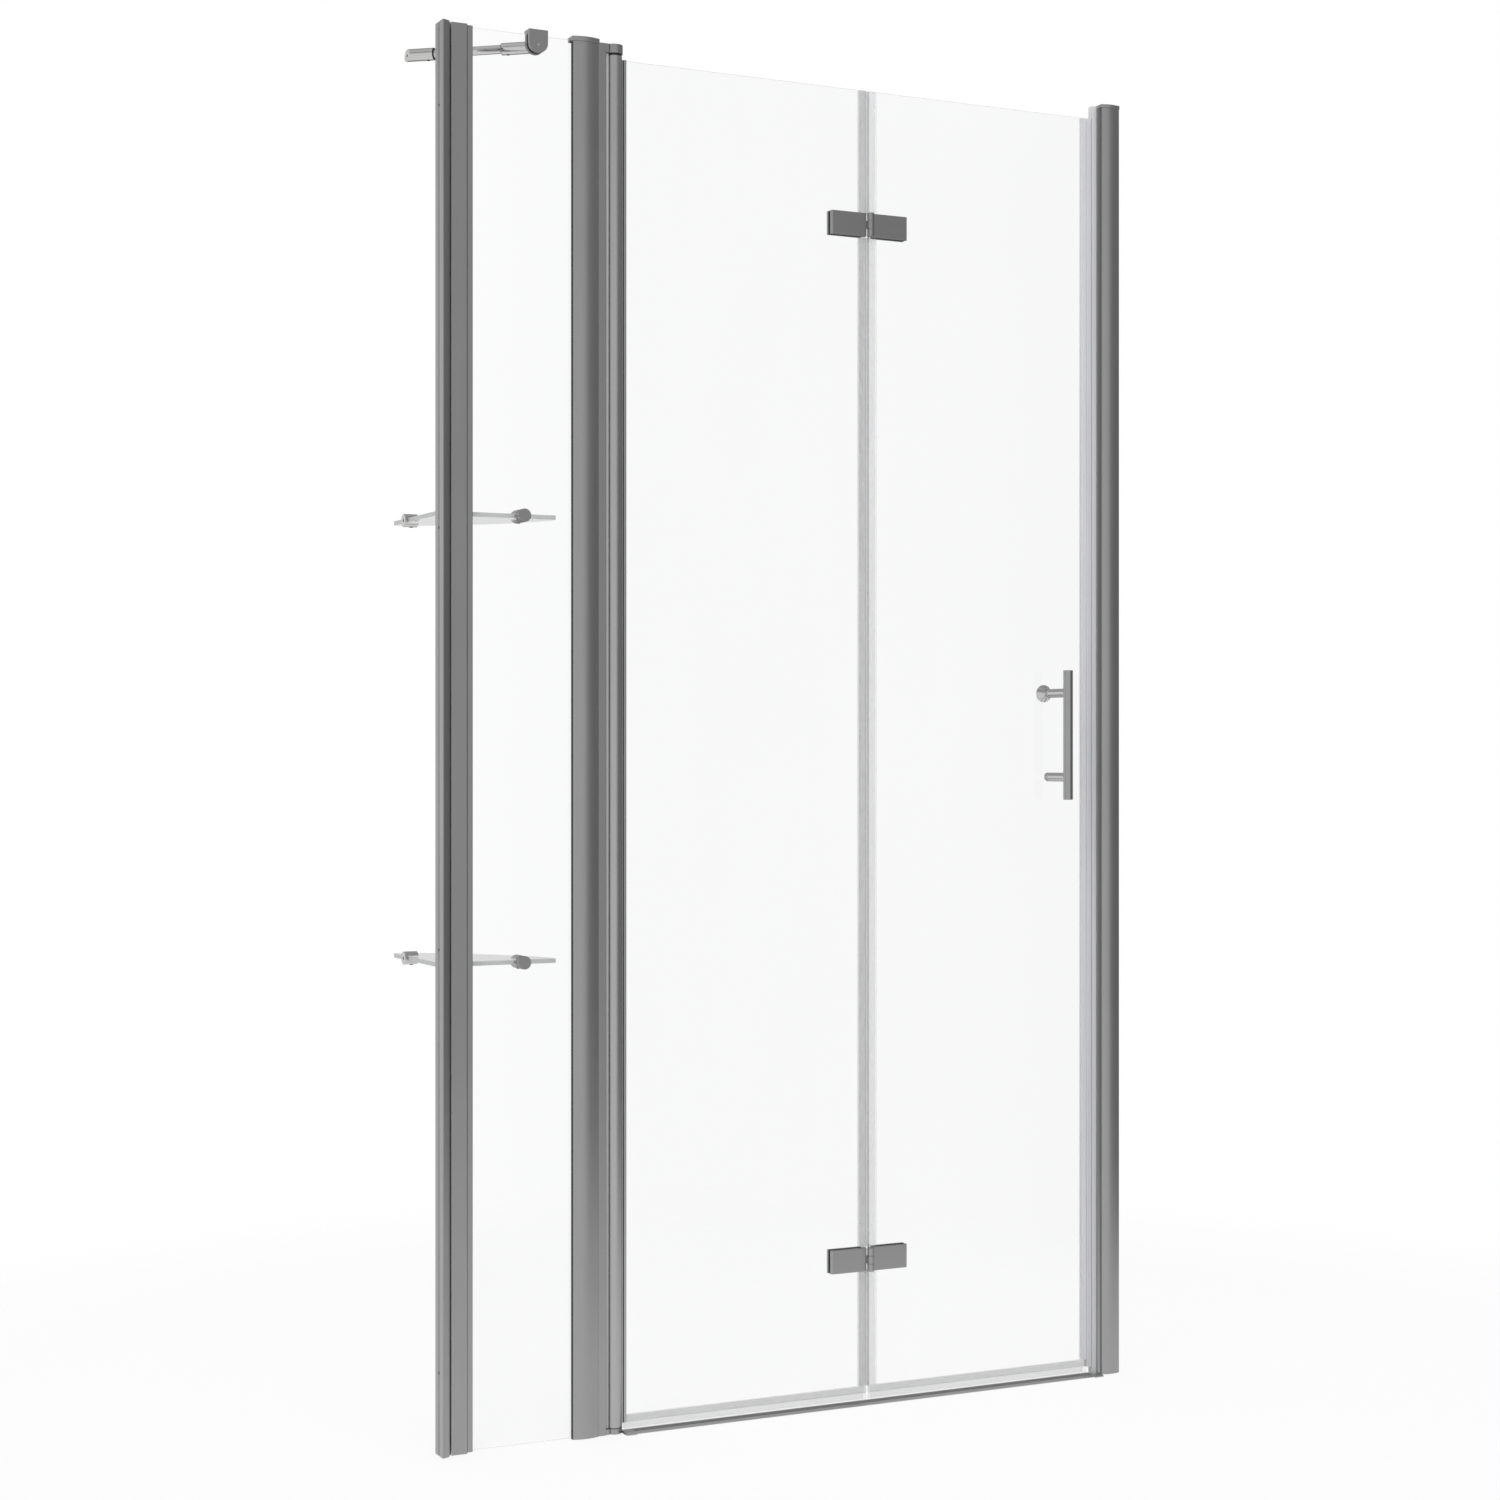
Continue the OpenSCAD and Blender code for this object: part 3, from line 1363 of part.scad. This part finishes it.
// ---- handle ----

module handle_bar() {
    color("#abaeb0") from_wall()
        rod_z(handle_z - handle_len / 2, handle_z + handle_len / 2, handle_x, -handle_out, handle_r);
}

module handle_posts() {
    color("#c5c9c8") from_wall() difference() {
        for (z = handle_post_zs)
            rod_y(-handle_out, -washer_y, handle_x, z, handle_post_r);
        rod_z(handle_z - handle_len, handle_z + handle_len, handle_x, -handle_out, handle_r + fit_gap);
        for (z = handle_post_zs)
            rod_y(stud_y0 - fit_gap, 0, handle_x, z, stud_r + fit_gap);
    }
}

// Dished knob and its stud, turned about its axis; z runs into the shower
module knob_profile() {
    rim = knob_rim_t;
    rect(0, stud_r, stud_y0, washer_y + eps);
    polygon([
        [0, washer_y],
        [cap_r, washer_y],
        [cap_r, washer_y + knob_neck],
        [cap_r - cap_bevel, washer_y + knob_neck + 2 * cap_bevel],
        [knob_r - knob_dish, knob_out - 2 * knob_dish],
        [knob_r, knob_out - rim],
        [knob_r, knob_out - rim / 3],
        [knob_r - rim / 3, knob_out],
        [knob_r - rim, knob_out],
        [knob_r - 2 * rim, knob_out - knob_dish / 2],
        [0, knob_out - knob_dish]
    ]);
}

module cap_profile() {
    rect(0, stud_r, stud_y0, washer_y + eps);
    polygon([
        [0, washer_y],
        [cap_r, washer_y],
        [cap_r, washer_y + cap_out - cap_bevel],
        [cap_r - cap_bevel, washer_y + cap_out],
        [0, washer_y + cap_out]
    ]);
}

module handle_knobs() {
    color("#c5c9c8") from_wall() {
        translate([handle_x, 0, handle_post_zs[1]]) rotate([-90, 0, 0]) rotate_extrude() knob_profile();
        translate([handle_x, 0, handle_post_zs[0]]) rotate([-90, 0, 0]) rotate_extrude() cap_profile();
    }
}

module handle_washers() {
    color("#d8dcde") from_wall() for (z = handle_post_zs, side = [-1, 1])
        collar_washer(handle_x, z, handle_post_r, washer_t, stud_r, side);
}

left_wall_channel();
left_adjusting_profile();
left_glazing_gaskets();
fixed_glass();
post_gaskets();
middle_post();
post_cap();
pivot_profile();
pivot_wiper_seal();
upper_pivot_block();
lower_pivot_block();
pivot_pins();
right_wall_profile();
right_profile_cap();
magnet_profile();
profile_screws();
wall_magnet_seal();
wall_magnet_strip();
threshold_rail();
threshold_end_caps();
upper_shelf();
lower_shelf();
shelf_wall_brackets();
shelf_clamp_bodies();
shelf_clamp_caps();
shelf_clamp_washers();
shelf_clamp_bolts();
support_bar();
bar_wall_sleeve();
bar_wall_foot();
bar_glass_sleeve();
bar_sleeve_rings();
set_screws();
glass_clamp();
clamp_gasket();
clamp_screws();
door_stile();
stile_gaskets();
pivot_bushes();
inner_glass();
inner_centre_seal();
inner_drip_seal();
inner_hinge_plates();
inner_hinge_backs();
inner_hinge_gaskets();
inner_hinge_screws();
fold_pins();
outer_glass();
outer_centre_seal();
outer_drip_seal();
outer_hinge_plates();
outer_hinge_backs();
outer_hinge_gaskets();
outer_hinge_screws();
door_magnet_seal();
door_magnet_strip();
handle_bar();
handle_posts();
handle_knobs();
handle_washers();
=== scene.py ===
"""Looks of the bifold shower door: finishes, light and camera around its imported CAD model.

Lengths are metres in the model's frame: X along the opening, +Y into the shower, +Z up. Every
CAD node is shown as it is, and no piece is added.
"""

import math

import bpy
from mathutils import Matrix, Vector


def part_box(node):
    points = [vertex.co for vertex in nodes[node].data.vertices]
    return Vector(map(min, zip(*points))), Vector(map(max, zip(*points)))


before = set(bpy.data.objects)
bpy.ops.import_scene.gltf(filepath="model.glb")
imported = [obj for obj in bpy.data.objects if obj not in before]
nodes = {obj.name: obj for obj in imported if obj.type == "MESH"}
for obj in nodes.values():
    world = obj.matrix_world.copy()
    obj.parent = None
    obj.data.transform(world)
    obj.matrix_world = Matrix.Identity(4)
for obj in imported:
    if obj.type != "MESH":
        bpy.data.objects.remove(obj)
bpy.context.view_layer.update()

# ---- photograph's view ----

CAMERA_PLACE = (-1.7065, -3.3275, 0.935)
CAMERA_TILT = math.radians(90)
CAMERA_TURN = math.radians(-26.111)
LENS_MM = 63.36
SENSOR_MM = 36.0

# ---- colours, linear ----

ALUMINIUM = (0.358, 0.358, 0.360)
# painted light: the threshold's aluminium made lighter for the light its front catches
RAIL_PAINTED_LIGHTER = (0.64, 0.64, 0.64)
# painted light: the stile's aluminium made lighter to offset the shade on its flank
STILE_PAINTED_LIGHTER = (0.44, 0.44, 0.442)
# painted shade: dark colour for groove faces, standing in for the shade that falls in the grooves
PAINTED_SHADE_RECESS = (0.12, 0.12, 0.12)
# painted highlight: lighter metal for corner faces turned towards the light
PAINTED_HIGHLIGHT_EDGE = (0.72, 0.72, 0.72)
FITTING = (0.56, 0.56, 0.555)
STEEL = (0.50, 0.50, 0.50)
PANE = (0.974, 0.976, 0.977)
GROUND_EDGE = (0.52, 0.53, 0.53)
POLISHED_EDGE = (0.84, 0.85, 0.85)
SEAL_GREY = (0.36, 0.365, 0.38)
SEAL_LIGHT = (0.60, 0.605, 0.62)
SEAL_MILKY = (0.78, 0.785, 0.80)
WIPER = (0.44, 0.44, 0.445)
WASHER = (0.72, 0.73, 0.74)
RUBBER = (0.010, 0.010, 0.011)
MAGNET = (0.84, 0.84, 0.86)
FLOOR_PAINT = (0.9, 0.9, 0.9, 1)
WHITE = (1, 1, 1, 1)

# ---- surface detail ----

ALONG_X = (0.01, 1, 1)  # streaks drawn out along X
ALONG_Z = (1, 1, 0.01)  # streaks drawn out along Z
ROUND = (1, 1, 1)
NOISE_SPAN = (0.3, 0.7)  # where nearly all values of a noise lie
CLOUD_SCALE = 7.0
STREAK_HEIGHT = 0.00002
BEVEL_SAMPLES = 6
GRAIN_SCALE = 300.0
GRAIN_HEIGHT = 0.00003
GRAIN_SWING = 0.04
SATIN_ROUGH = 0.36
SEAL_ROUGH = 0.3
EDGE_ROUGH = 0.3
PLASTIC_IOR = 1.46
FILM_SCALE = 9.0
FILM_STRETCH = (1, 1, 0.3)
FILM_ROUGH = 0.012
FILM_DARKEST = 0.995
GLASS_IOR = 1.5
SHELF_IOR = 1.05  # low, so that the level shelves, seen edge on, stay as clear as in the photo

# ---- faces that take a further finish, painted shade or painted light ----

FACING = 0.5  # least part of a normal along an axis on a face that looks that way
LEVEL = 0.95  # least upward part of a normal on a level face
# where the painted groove shade goes
LIP_GROOVE_Y = (-0.0063, -0.0057)
GUIDE_GROOVE_X = -0.5372
STILE_GROOVE_X = (-0.273, -0.271)
STILE_GROOVE_Y = (-0.0065, -0.005)

# ---- room that metal mirrors: where each step starts and ends, the light before and after ----

LEFT_TO_RIGHT = (0.14, 0.22, 0.92, 0.25)
FRONT_TO_BACK = (0.42, 0.60, 0.95, 0.35)
TO_OVERHEAD = (0.86, 0.95, 0.46, 0.68)
UPPER_EDGE = (0.26, 0.31)
LOWER_EDGE = (-0.35, -0.29)
SIDE_SKEW = 0.2
OVERHEAD_WAY = (-0.46, -0.1, 0.88)
SOFT_LIGHT = 0.75

# ---- floor ----

FLOOR_DROP = 0.0005
FLOOR_GLOW = 0.85


class Tree:
    """Node tree of a material or world, filled one node at a time."""

    def __init__(self, owner):
        owner.use_nodes = True
        self.nodes = owner.node_tree.nodes
        self.links = owner.node_tree.links
        self.nodes.clear()

    def add(self, kind, settings=None, values=None):
        """A node of that kind, with its settings and the values or links of its inputs."""
        node = self.nodes.new("ShaderNode" + kind)
        for key, value in (settings or {}).items():
            setattr(node, key, value)
        for key, value in (values or {}).items():
            if isinstance(value, bpy.types.NodeSocket):
                self.links.new(value, node.inputs[key])
            else:
                node.inputs[key].default_value = value
        return node

    def value(self, kind, operation, *inputs):
        """Result of a Math or VectorMath node."""
        made = self.add(kind, {"operation": operation}, dict(enumerate(inputs)))
        return made.outputs["Value"]

    def noise(self, scale, stretch=ROUND, detail=3.0):
        """Noise on the piece's own coordinates, drawn out along an axis by a small stretch."""
        place = self.add("TexCoord").outputs["Object"]
        mapped = self.add("Mapping", values={"Vector": place, "Scale": stretch})
        made = self.add(
            "TexNoise",
            values={"Vector": mapped.outputs["Vector"], "Scale": scale, "Detail": detail},
        )
        return made.outputs["Fac"]

    def step(self, value, start, end, low, high, shape="SMOOTHSTEP"):
        """low up to start, high from end on, and a step of that shape between them."""
        made = self.add(
            "MapRange",
            {"interpolation_type": shape},
            {"Value": value, "From Min": start, "From Max": end, "To Min": low, "To Max": high},
        )
        return made.outputs["Result"]

    def spread(self, noise, low, high):
        """The noise stretched over low to high."""
        return self.step(noise, *NOISE_SPAN, low, high, "LINEAR")

    def tinted(self, noise, colour, low, high):
        """colour times a factor that runs from low to high with the noise."""
        ramp = self.add("ValToRGB", values={"Fac": noise})
        for stop, place, factor in zip(ramp.color_ramp.elements, NOISE_SPAN, (low, high)):
            stop.position = place
            stop.color = (*(min(1.0, c * factor) for c in colour), 1.0)
        return ramp.outputs["Color"]

    def relief(self, noise, depth, distance, edge=0.0):
        """Normal of a fine relief on a surface whose edges are rounded by edge."""
        values = {"Height": noise, "Strength": depth, "Distance": distance}
        if edge:
            rounded = self.add("Bevel", {"samples": BEVEL_SAMPLES}, {"Radius": edge})
            values["Normal"] = rounded.outputs["Normal"]
        return self.add("Bump", values=values).outputs["Normal"]

    def white(self, kind, strength):
        """White light from a Background or Emission node."""
        return self.add(kind, values={"Color": WHITE, "Strength": strength})

    def mix(self, share, first, second):
        """The first shader where share is 0, the second where it is 1."""
        made = self.add("MixShader", values={"Fac": share})
        self.links.new(first.outputs[0], made.inputs[1])
        self.links.new(second.outputs[0], made.inputs[2])
        return made

    def out(self, shader, kind="OutputMaterial"):
        """Makes shader the surface of the material or world."""
        self.add(kind, values={"Surface": shader.outputs[0]})


def new_material(name):
    """A material of that name and its empty tree."""
    made = bpy.data.materials.new(name)
    return made, Tree(made)


def metal(name, colour, rough, stretch, scale=900.0, swing=0.04, depth=0.10, edge=0.0009):
    """Drawn or turned metal: fine streaks drawn out along the small axis of stretch."""
    made, tree = new_material(name)
    streaks = tree.noise(scale, stretch)
    clouds = tree.noise(CLOUD_SCALE, detail=2.0)
    shader = tree.add(
        "BsdfPrincipled",
        values={
            "Base Color": tree.tinted(clouds, colour, 1 - swing / 2, 1 + swing / 2),
            "Metallic": 1.0,
            "Roughness": tree.spread(streaks, rough - swing, rough + swing),
            "Normal": tree.relief(streaks, depth, STREAK_HEIGHT, edge),
        },
    )
    tree.out(shader)
    return made


def clear_glass(name, colour, ior=GLASS_IOR, lets_mirrored=True):
    """Toughened glass that bends what is seen and lets lamps straight through.

    With lets_mirrored it lets mirrored rays through too: bent by it, they would no longer count
    as mirrored, and the metal behind a pane would show the white background, not the room.
    """
    made, tree = new_material(name)
    film = tree.noise(FILM_SCALE, FILM_STRETCH)
    glass = tree.add(
        "BsdfPrincipled",
        values={
            "Base Color": tree.tinted(film, colour, FILM_DARKEST, 1.0),
            "Roughness": tree.spread(film, 0.0, FILM_ROUGH),
            "IOR": ior,
            "Transmission Weight": 1.0,
        },
    )
    rays = tree.add("LightPath").outputs
    passing = rays["Is Shadow Ray"]
    if lets_mirrored:
        passing = tree.value("Math", "MAXIMUM", passing, rays["Is Reflection Ray"])
    tree.out(tree.mix(passing, glass, tree.add("BsdfTransparent")))
    return made


def plastic(name, colour, rough, cover=1.0, swing=0.06, stretch=ROUND, depth=0.15):
    """Moulded or extruded plastic or rubber; cover is how much of what is behind it hides."""
    made, tree = new_material(name)
    grain = tree.noise(GRAIN_SCALE, stretch)
    shader = tree.add(
        "BsdfPrincipled",
        values={
            "Base Color": tree.tinted(grain, colour, 1 - swing, 1 + swing),
            "Roughness": tree.spread(grain, rough - GRAIN_SWING, rough + GRAIN_SWING),
            "IOR": PLASTIC_IOR,
            "Alpha": cover,
            "Normal": tree.relief(grain, depth, GRAIN_HEIGHT),
        },
    )
    tree.out(shader)
    return made


def finish_nodes(finish, *names):
    """Gives whole nodes a finish."""
    for name in names:
        nodes[name].data.materials.clear()
        nodes[name].data.materials.append(finish)


def finish_faces(finish, chosen, *names):
    """Gives a further finish to the faces of nodes for which chosen(face) is true."""
    for name in names:
        mesh = nodes[name].data
        mesh.materials.append(finish)
        for face in mesh.polygons:
            if chosen(face):
                face.material_index = len(mesh.materials) - 1


def between(value, span):
    """Whether value lies inside span."""
    return span[0] < value < span[1]


# ---- metal ----

satin_level = metal("satin_level", ALUMINIUM, SATIN_ROUGH, ALONG_X)
# painted shade for groove faces
satin_painted_shade_recess = metal("satin_painted_shade_recess", PAINTED_SHADE_RECESS, 0.40, ALONG_Z)

finish_nodes(
    metal("satin_upright", ALUMINIUM, SATIN_ROUGH, ALONG_Z),
    "left_wall_channel",
    "left_adjusting_profile",
    "middle_post",
    "pivot_profile",
    "right_wall_profile",
    "magnet_profile",
)
# Painted light: the stile takes a lighter copy of the aluminium.
finish_nodes(metal("satin_stile_painted_light", STILE_PAINTED_LIGHTER, 0.34, ALONG_Z), "door_stile")
# Painted light: the threshold rail and its end caps take a lighter copy of the aluminium.
finish_nodes(
    metal("satin_rail_painted_light", RAIL_PAINTED_LIGHTER, SATIN_ROUGH, ALONG_X), "threshold_rail", "threshold_end_caps"
)
finish_nodes(
    satin_level,
    "post_cap",
    "right_profile_cap",
    "inner_hinge_plates",
    "inner_hinge_backs",
    "outer_hinge_plates",
    "outer_hinge_backs",
    "glass_clamp",
    "shelf_clamp_caps",
    "upper_pivot_block",
    "lower_pivot_block",
)
finish_nodes(metal("satin_bar", ALUMINIUM, 0.26, ALONG_Z), "handle_bar")
finish_nodes(
    metal("chrome", FITTING, 0.09, ROUND, scale=250.0, swing=0.03, depth=0.04),
    "shelf_wall_brackets",
    "shelf_clamp_bodies",
    "support_bar",
    "bar_wall_sleeve",
    "bar_wall_foot",
    "bar_glass_sleeve",
    "handle_posts",
    "handle_knobs",
)
finish_nodes(
    metal("screw_steel", STEEL, 0.25, ROUND, scale=500.0, edge=0.0004),
    "pivot_pins",
    "profile_screws",
    "shelf_clamp_bolts",
    "clamp_screws",
    "inner_hinge_screws",
    "outer_hinge_screws",
    "fold_pins",
)
# Painted shade: the floor of the adjusting profile's lip groove takes the dark colour for the
# shade in the groove.
finish_faces(
    satin_painted_shade_recess,
    lambda face: face.normal.y < -FACING and between(face.center.y, LIP_GROOVE_Y),
    "left_adjusting_profile",
)
# Painted highlight: the adjusting profile's faces turned left and forward, towards the light, take
# a lighter metal colour.
finish_faces(
    metal("painted_highlight_edge", PAINTED_HIGHLIGHT_EDGE, 0.30, ALONG_Z),
    lambda face: face.normal.x < -FACING and face.normal.y < -FACING,
    "left_adjusting_profile",
)
# Painted shade: the left-turned faces in the wall channel's guide groove take the dark colour.
finish_faces(
    satin_painted_shade_recess,
    lambda face: face.normal.x < -FACING and face.center.x > GUIDE_GROOVE_X,
    "left_wall_channel",
)
# Painted shade: the faces of the stile's groove take the dark colour.
finish_faces(
    satin_painted_shade_recess,
    lambda face: between(face.center.x, STILE_GROOVE_X) and between(face.center.y, STILE_GROOVE_Y),
    "door_stile",
)
# Painted shade: the rail's level top keeps the darker aluminium, for the shade under the drip
# seal.
finish_faces(satin_level, lambda face: face.normal.z > LEVEL, "threshold_rail")

# ---- glass ----

finish_nodes(clear_glass("pane_glass", PANE), "fixed_glass", "inner_glass", "outer_glass")
finish_nodes(
    clear_glass("shelf_glass", PANE, SHELF_IOR, lets_mirrored=False), "upper_shelf", "lower_shelf"
)
finish_faces(
    plastic("pane_edge", POLISHED_EDGE, EDGE_ROUGH, cover=0.35),
    lambda face: abs(face.normal.y) < FACING,
    "fixed_glass",
    "inner_glass",
    "outer_glass",
)
finish_faces(
    plastic("shelf_edge", GROUND_EDGE, EDGE_ROUGH),
    lambda face: min(face.normal.x, face.normal.y) < -FACING,
    "upper_shelf",
    "lower_shelf",
)

# ---- seals, gaskets and other plastic ----

finish_nodes(
    plastic("seal_grey", SEAL_GREY, SEAL_ROUGH, cover=0.20, stretch=ALONG_Z),
    "left_glazing_gaskets",
    "inner_centre_seal",
)
finish_nodes(
    plastic("seal_light", SEAL_LIGHT, SEAL_ROUGH, cover=0.12, stretch=ALONG_Z), "outer_centre_seal"
)
finish_nodes(
    plastic("seal_milky", SEAL_MILKY, SEAL_ROUGH, cover=0.60, stretch=ALONG_Z),
    "wall_magnet_seal",
    "door_magnet_seal",
)
finish_nodes(
    plastic("seal_leg", SEAL_GREY, SEAL_ROUGH, 0.155, swing=0.02, stretch=ALONG_X, depth=0.05),
    "inner_drip_seal",
    "outer_drip_seal",
)
finish_nodes(plastic("wiper", WIPER, 0.4, stretch=ALONG_Z), "pivot_wiper_seal")
finish_nodes(
    plastic("clear_washer", WASHER, 0.2, cover=0.3), "shelf_clamp_washers", "handle_washers"
)
finish_nodes(
    plastic("black_rubber", RUBBER, 0.55),
    "post_gaskets",
    "bar_sleeve_rings",
    "clamp_gasket",
    "stile_gaskets",
    "inner_hinge_gaskets",
    "outer_hinge_gaskets",
)
finish_nodes(plastic("black_bush", RUBBER, 0.35), "set_screws", "pivot_bushes")
finish_nodes(
    plastic("magnet_strip", MAGNET, 0.6, cover=0.60), "wall_magnet_strip", "door_magnet_strip"
)

pane_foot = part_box("inner_glass")[0].z
finish_faces(
    plastic("seal_fin", SEAL_LIGHT, SEAL_ROUGH, cover=0.12, stretch=ALONG_X),
    lambda face: face.center.z < pane_foot,
    "inner_drip_seal",
    "outer_drip_seal",
)
finish_faces(
    plastic("seal_line", SEAL_GREY, SEAL_ROUGH, cover=0.32, stretch=ALONG_Z),
    lambda face: face.normal.x < -FACING,
    "outer_centre_seal",
)

# ---- world, floor and lamp ----


def kinds_of_ray(tree):
    """Two sockets: 1 for rays from the camera or through glass, and 1 for mirrored rays."""
    rays = tree.add("LightPath").outputs
    straight = tree.value("Math", "MAXIMUM", rays["Is Camera Ray"], rays["Is Transmission Ray"])
    return straight, rays["Is Glossy Ray"]


def room_light():
    """White behind the door for the camera; for metal, a light room to the left of a dark one."""
    world = bpy.data.worlds.new("studio")
    bpy.context.scene.world = world
    tree = Tree(world)
    towards = tree.add("TexCoord").outputs["Generated"]
    axes = tree.add("SeparateXYZ", values={"Vector": towards}).outputs
    turned = tree.value("Math", "MULTIPLY_ADD", axes["Y"], SIDE_SKEW, axes["X"])
    overhead = tree.value("VectorMath", "DOT_PRODUCT", towards, OVERHEAD_WAY)
    side = tree.step(turned, *LEFT_TO_RIGHT)
    above = tree.step(overhead, *TO_OVERHEAD)
    below = tree.step(axes["Y"], *FRONT_TO_BACK)
    upper = tree.step(axes["Z"], *UPPER_EDGE, side, above)
    room = tree.white("Background", tree.step(axes["Z"], *LOWER_EDGE, below, upper))
    soft = tree.white("Background", SOFT_LIGHT)
    background = tree.white("Background", 1.0)
    straight, glossy = kinds_of_ray(tree)
    tree.out(tree.mix(straight, tree.mix(glossy, soft, room), background), "OutputWorld")


def pale_floor(near, far):
    """White floor that keeps the door's faint shadow and fades out between near and far."""
    bpy.ops.mesh.primitive_plane_add(size=2 * far, location=(0, 0, -FLOOR_DROP))
    floor = bpy.context.object
    floor.name = "floor"
    made, tree = new_material("floor_white")
    reach = tree.value("VectorMath", "LENGTH", tree.add("TexCoord").outputs["Object"])
    seen = tree.value("Math", "MAXIMUM", *kinds_of_ray(tree))
    paint = tree.add("BsdfDiffuse", values={"Color": FLOOR_PAINT})
    share = tree.value("Math", "MULTIPLY", seen, FLOOR_GLOW)
    painted = tree.mix(share, paint, tree.white("Emission", 1.0))
    tree.out(tree.mix(tree.step(reach, near, far, 0.0, 1.0), painted, tree.add("BsdfTransparent")))
    floor.data.materials.append(made)


def lamp(name, place, aim, size, power):
    """Square soft lamp at place that shines on aim and isn't mirrored."""
    data = bpy.data.lights.new(name, "AREA")
    data.size = size
    data.energy = power
    made = bpy.data.objects.new(name, data)
    bpy.context.scene.collection.objects.link(made)
    made.location = place
    made.visible_glossy = False
    way = [a - p for a, p in zip(aim, place)]
    flat = math.hypot(way[0], way[1])
    made.rotation_euler = (math.atan2(flat, -way[2]), 0, math.atan2(-way[0], way[1]))


room_light()
pale_floor(near=1.2, far=2.0)
lamp("soft_top", place=(-1.2, -1.6, 3.6), aim=(0, 0, 0.9), size=2.5, power=45.0)

# ---- camera and view ----

camera_data = bpy.data.cameras.new("camera")
camera_data.lens = LENS_MM
camera_data.sensor_width = SENSOR_MM
camera = bpy.data.objects.new("camera", camera_data)
bpy.context.scene.collection.objects.link(camera)
camera.location = CAMERA_PLACE
camera.rotation_euler = (CAMERA_TILT, 0, CAMERA_TURN)
bpy.context.scene.camera = camera
bpy.context.scene.view_settings.view_transform = "Standard"
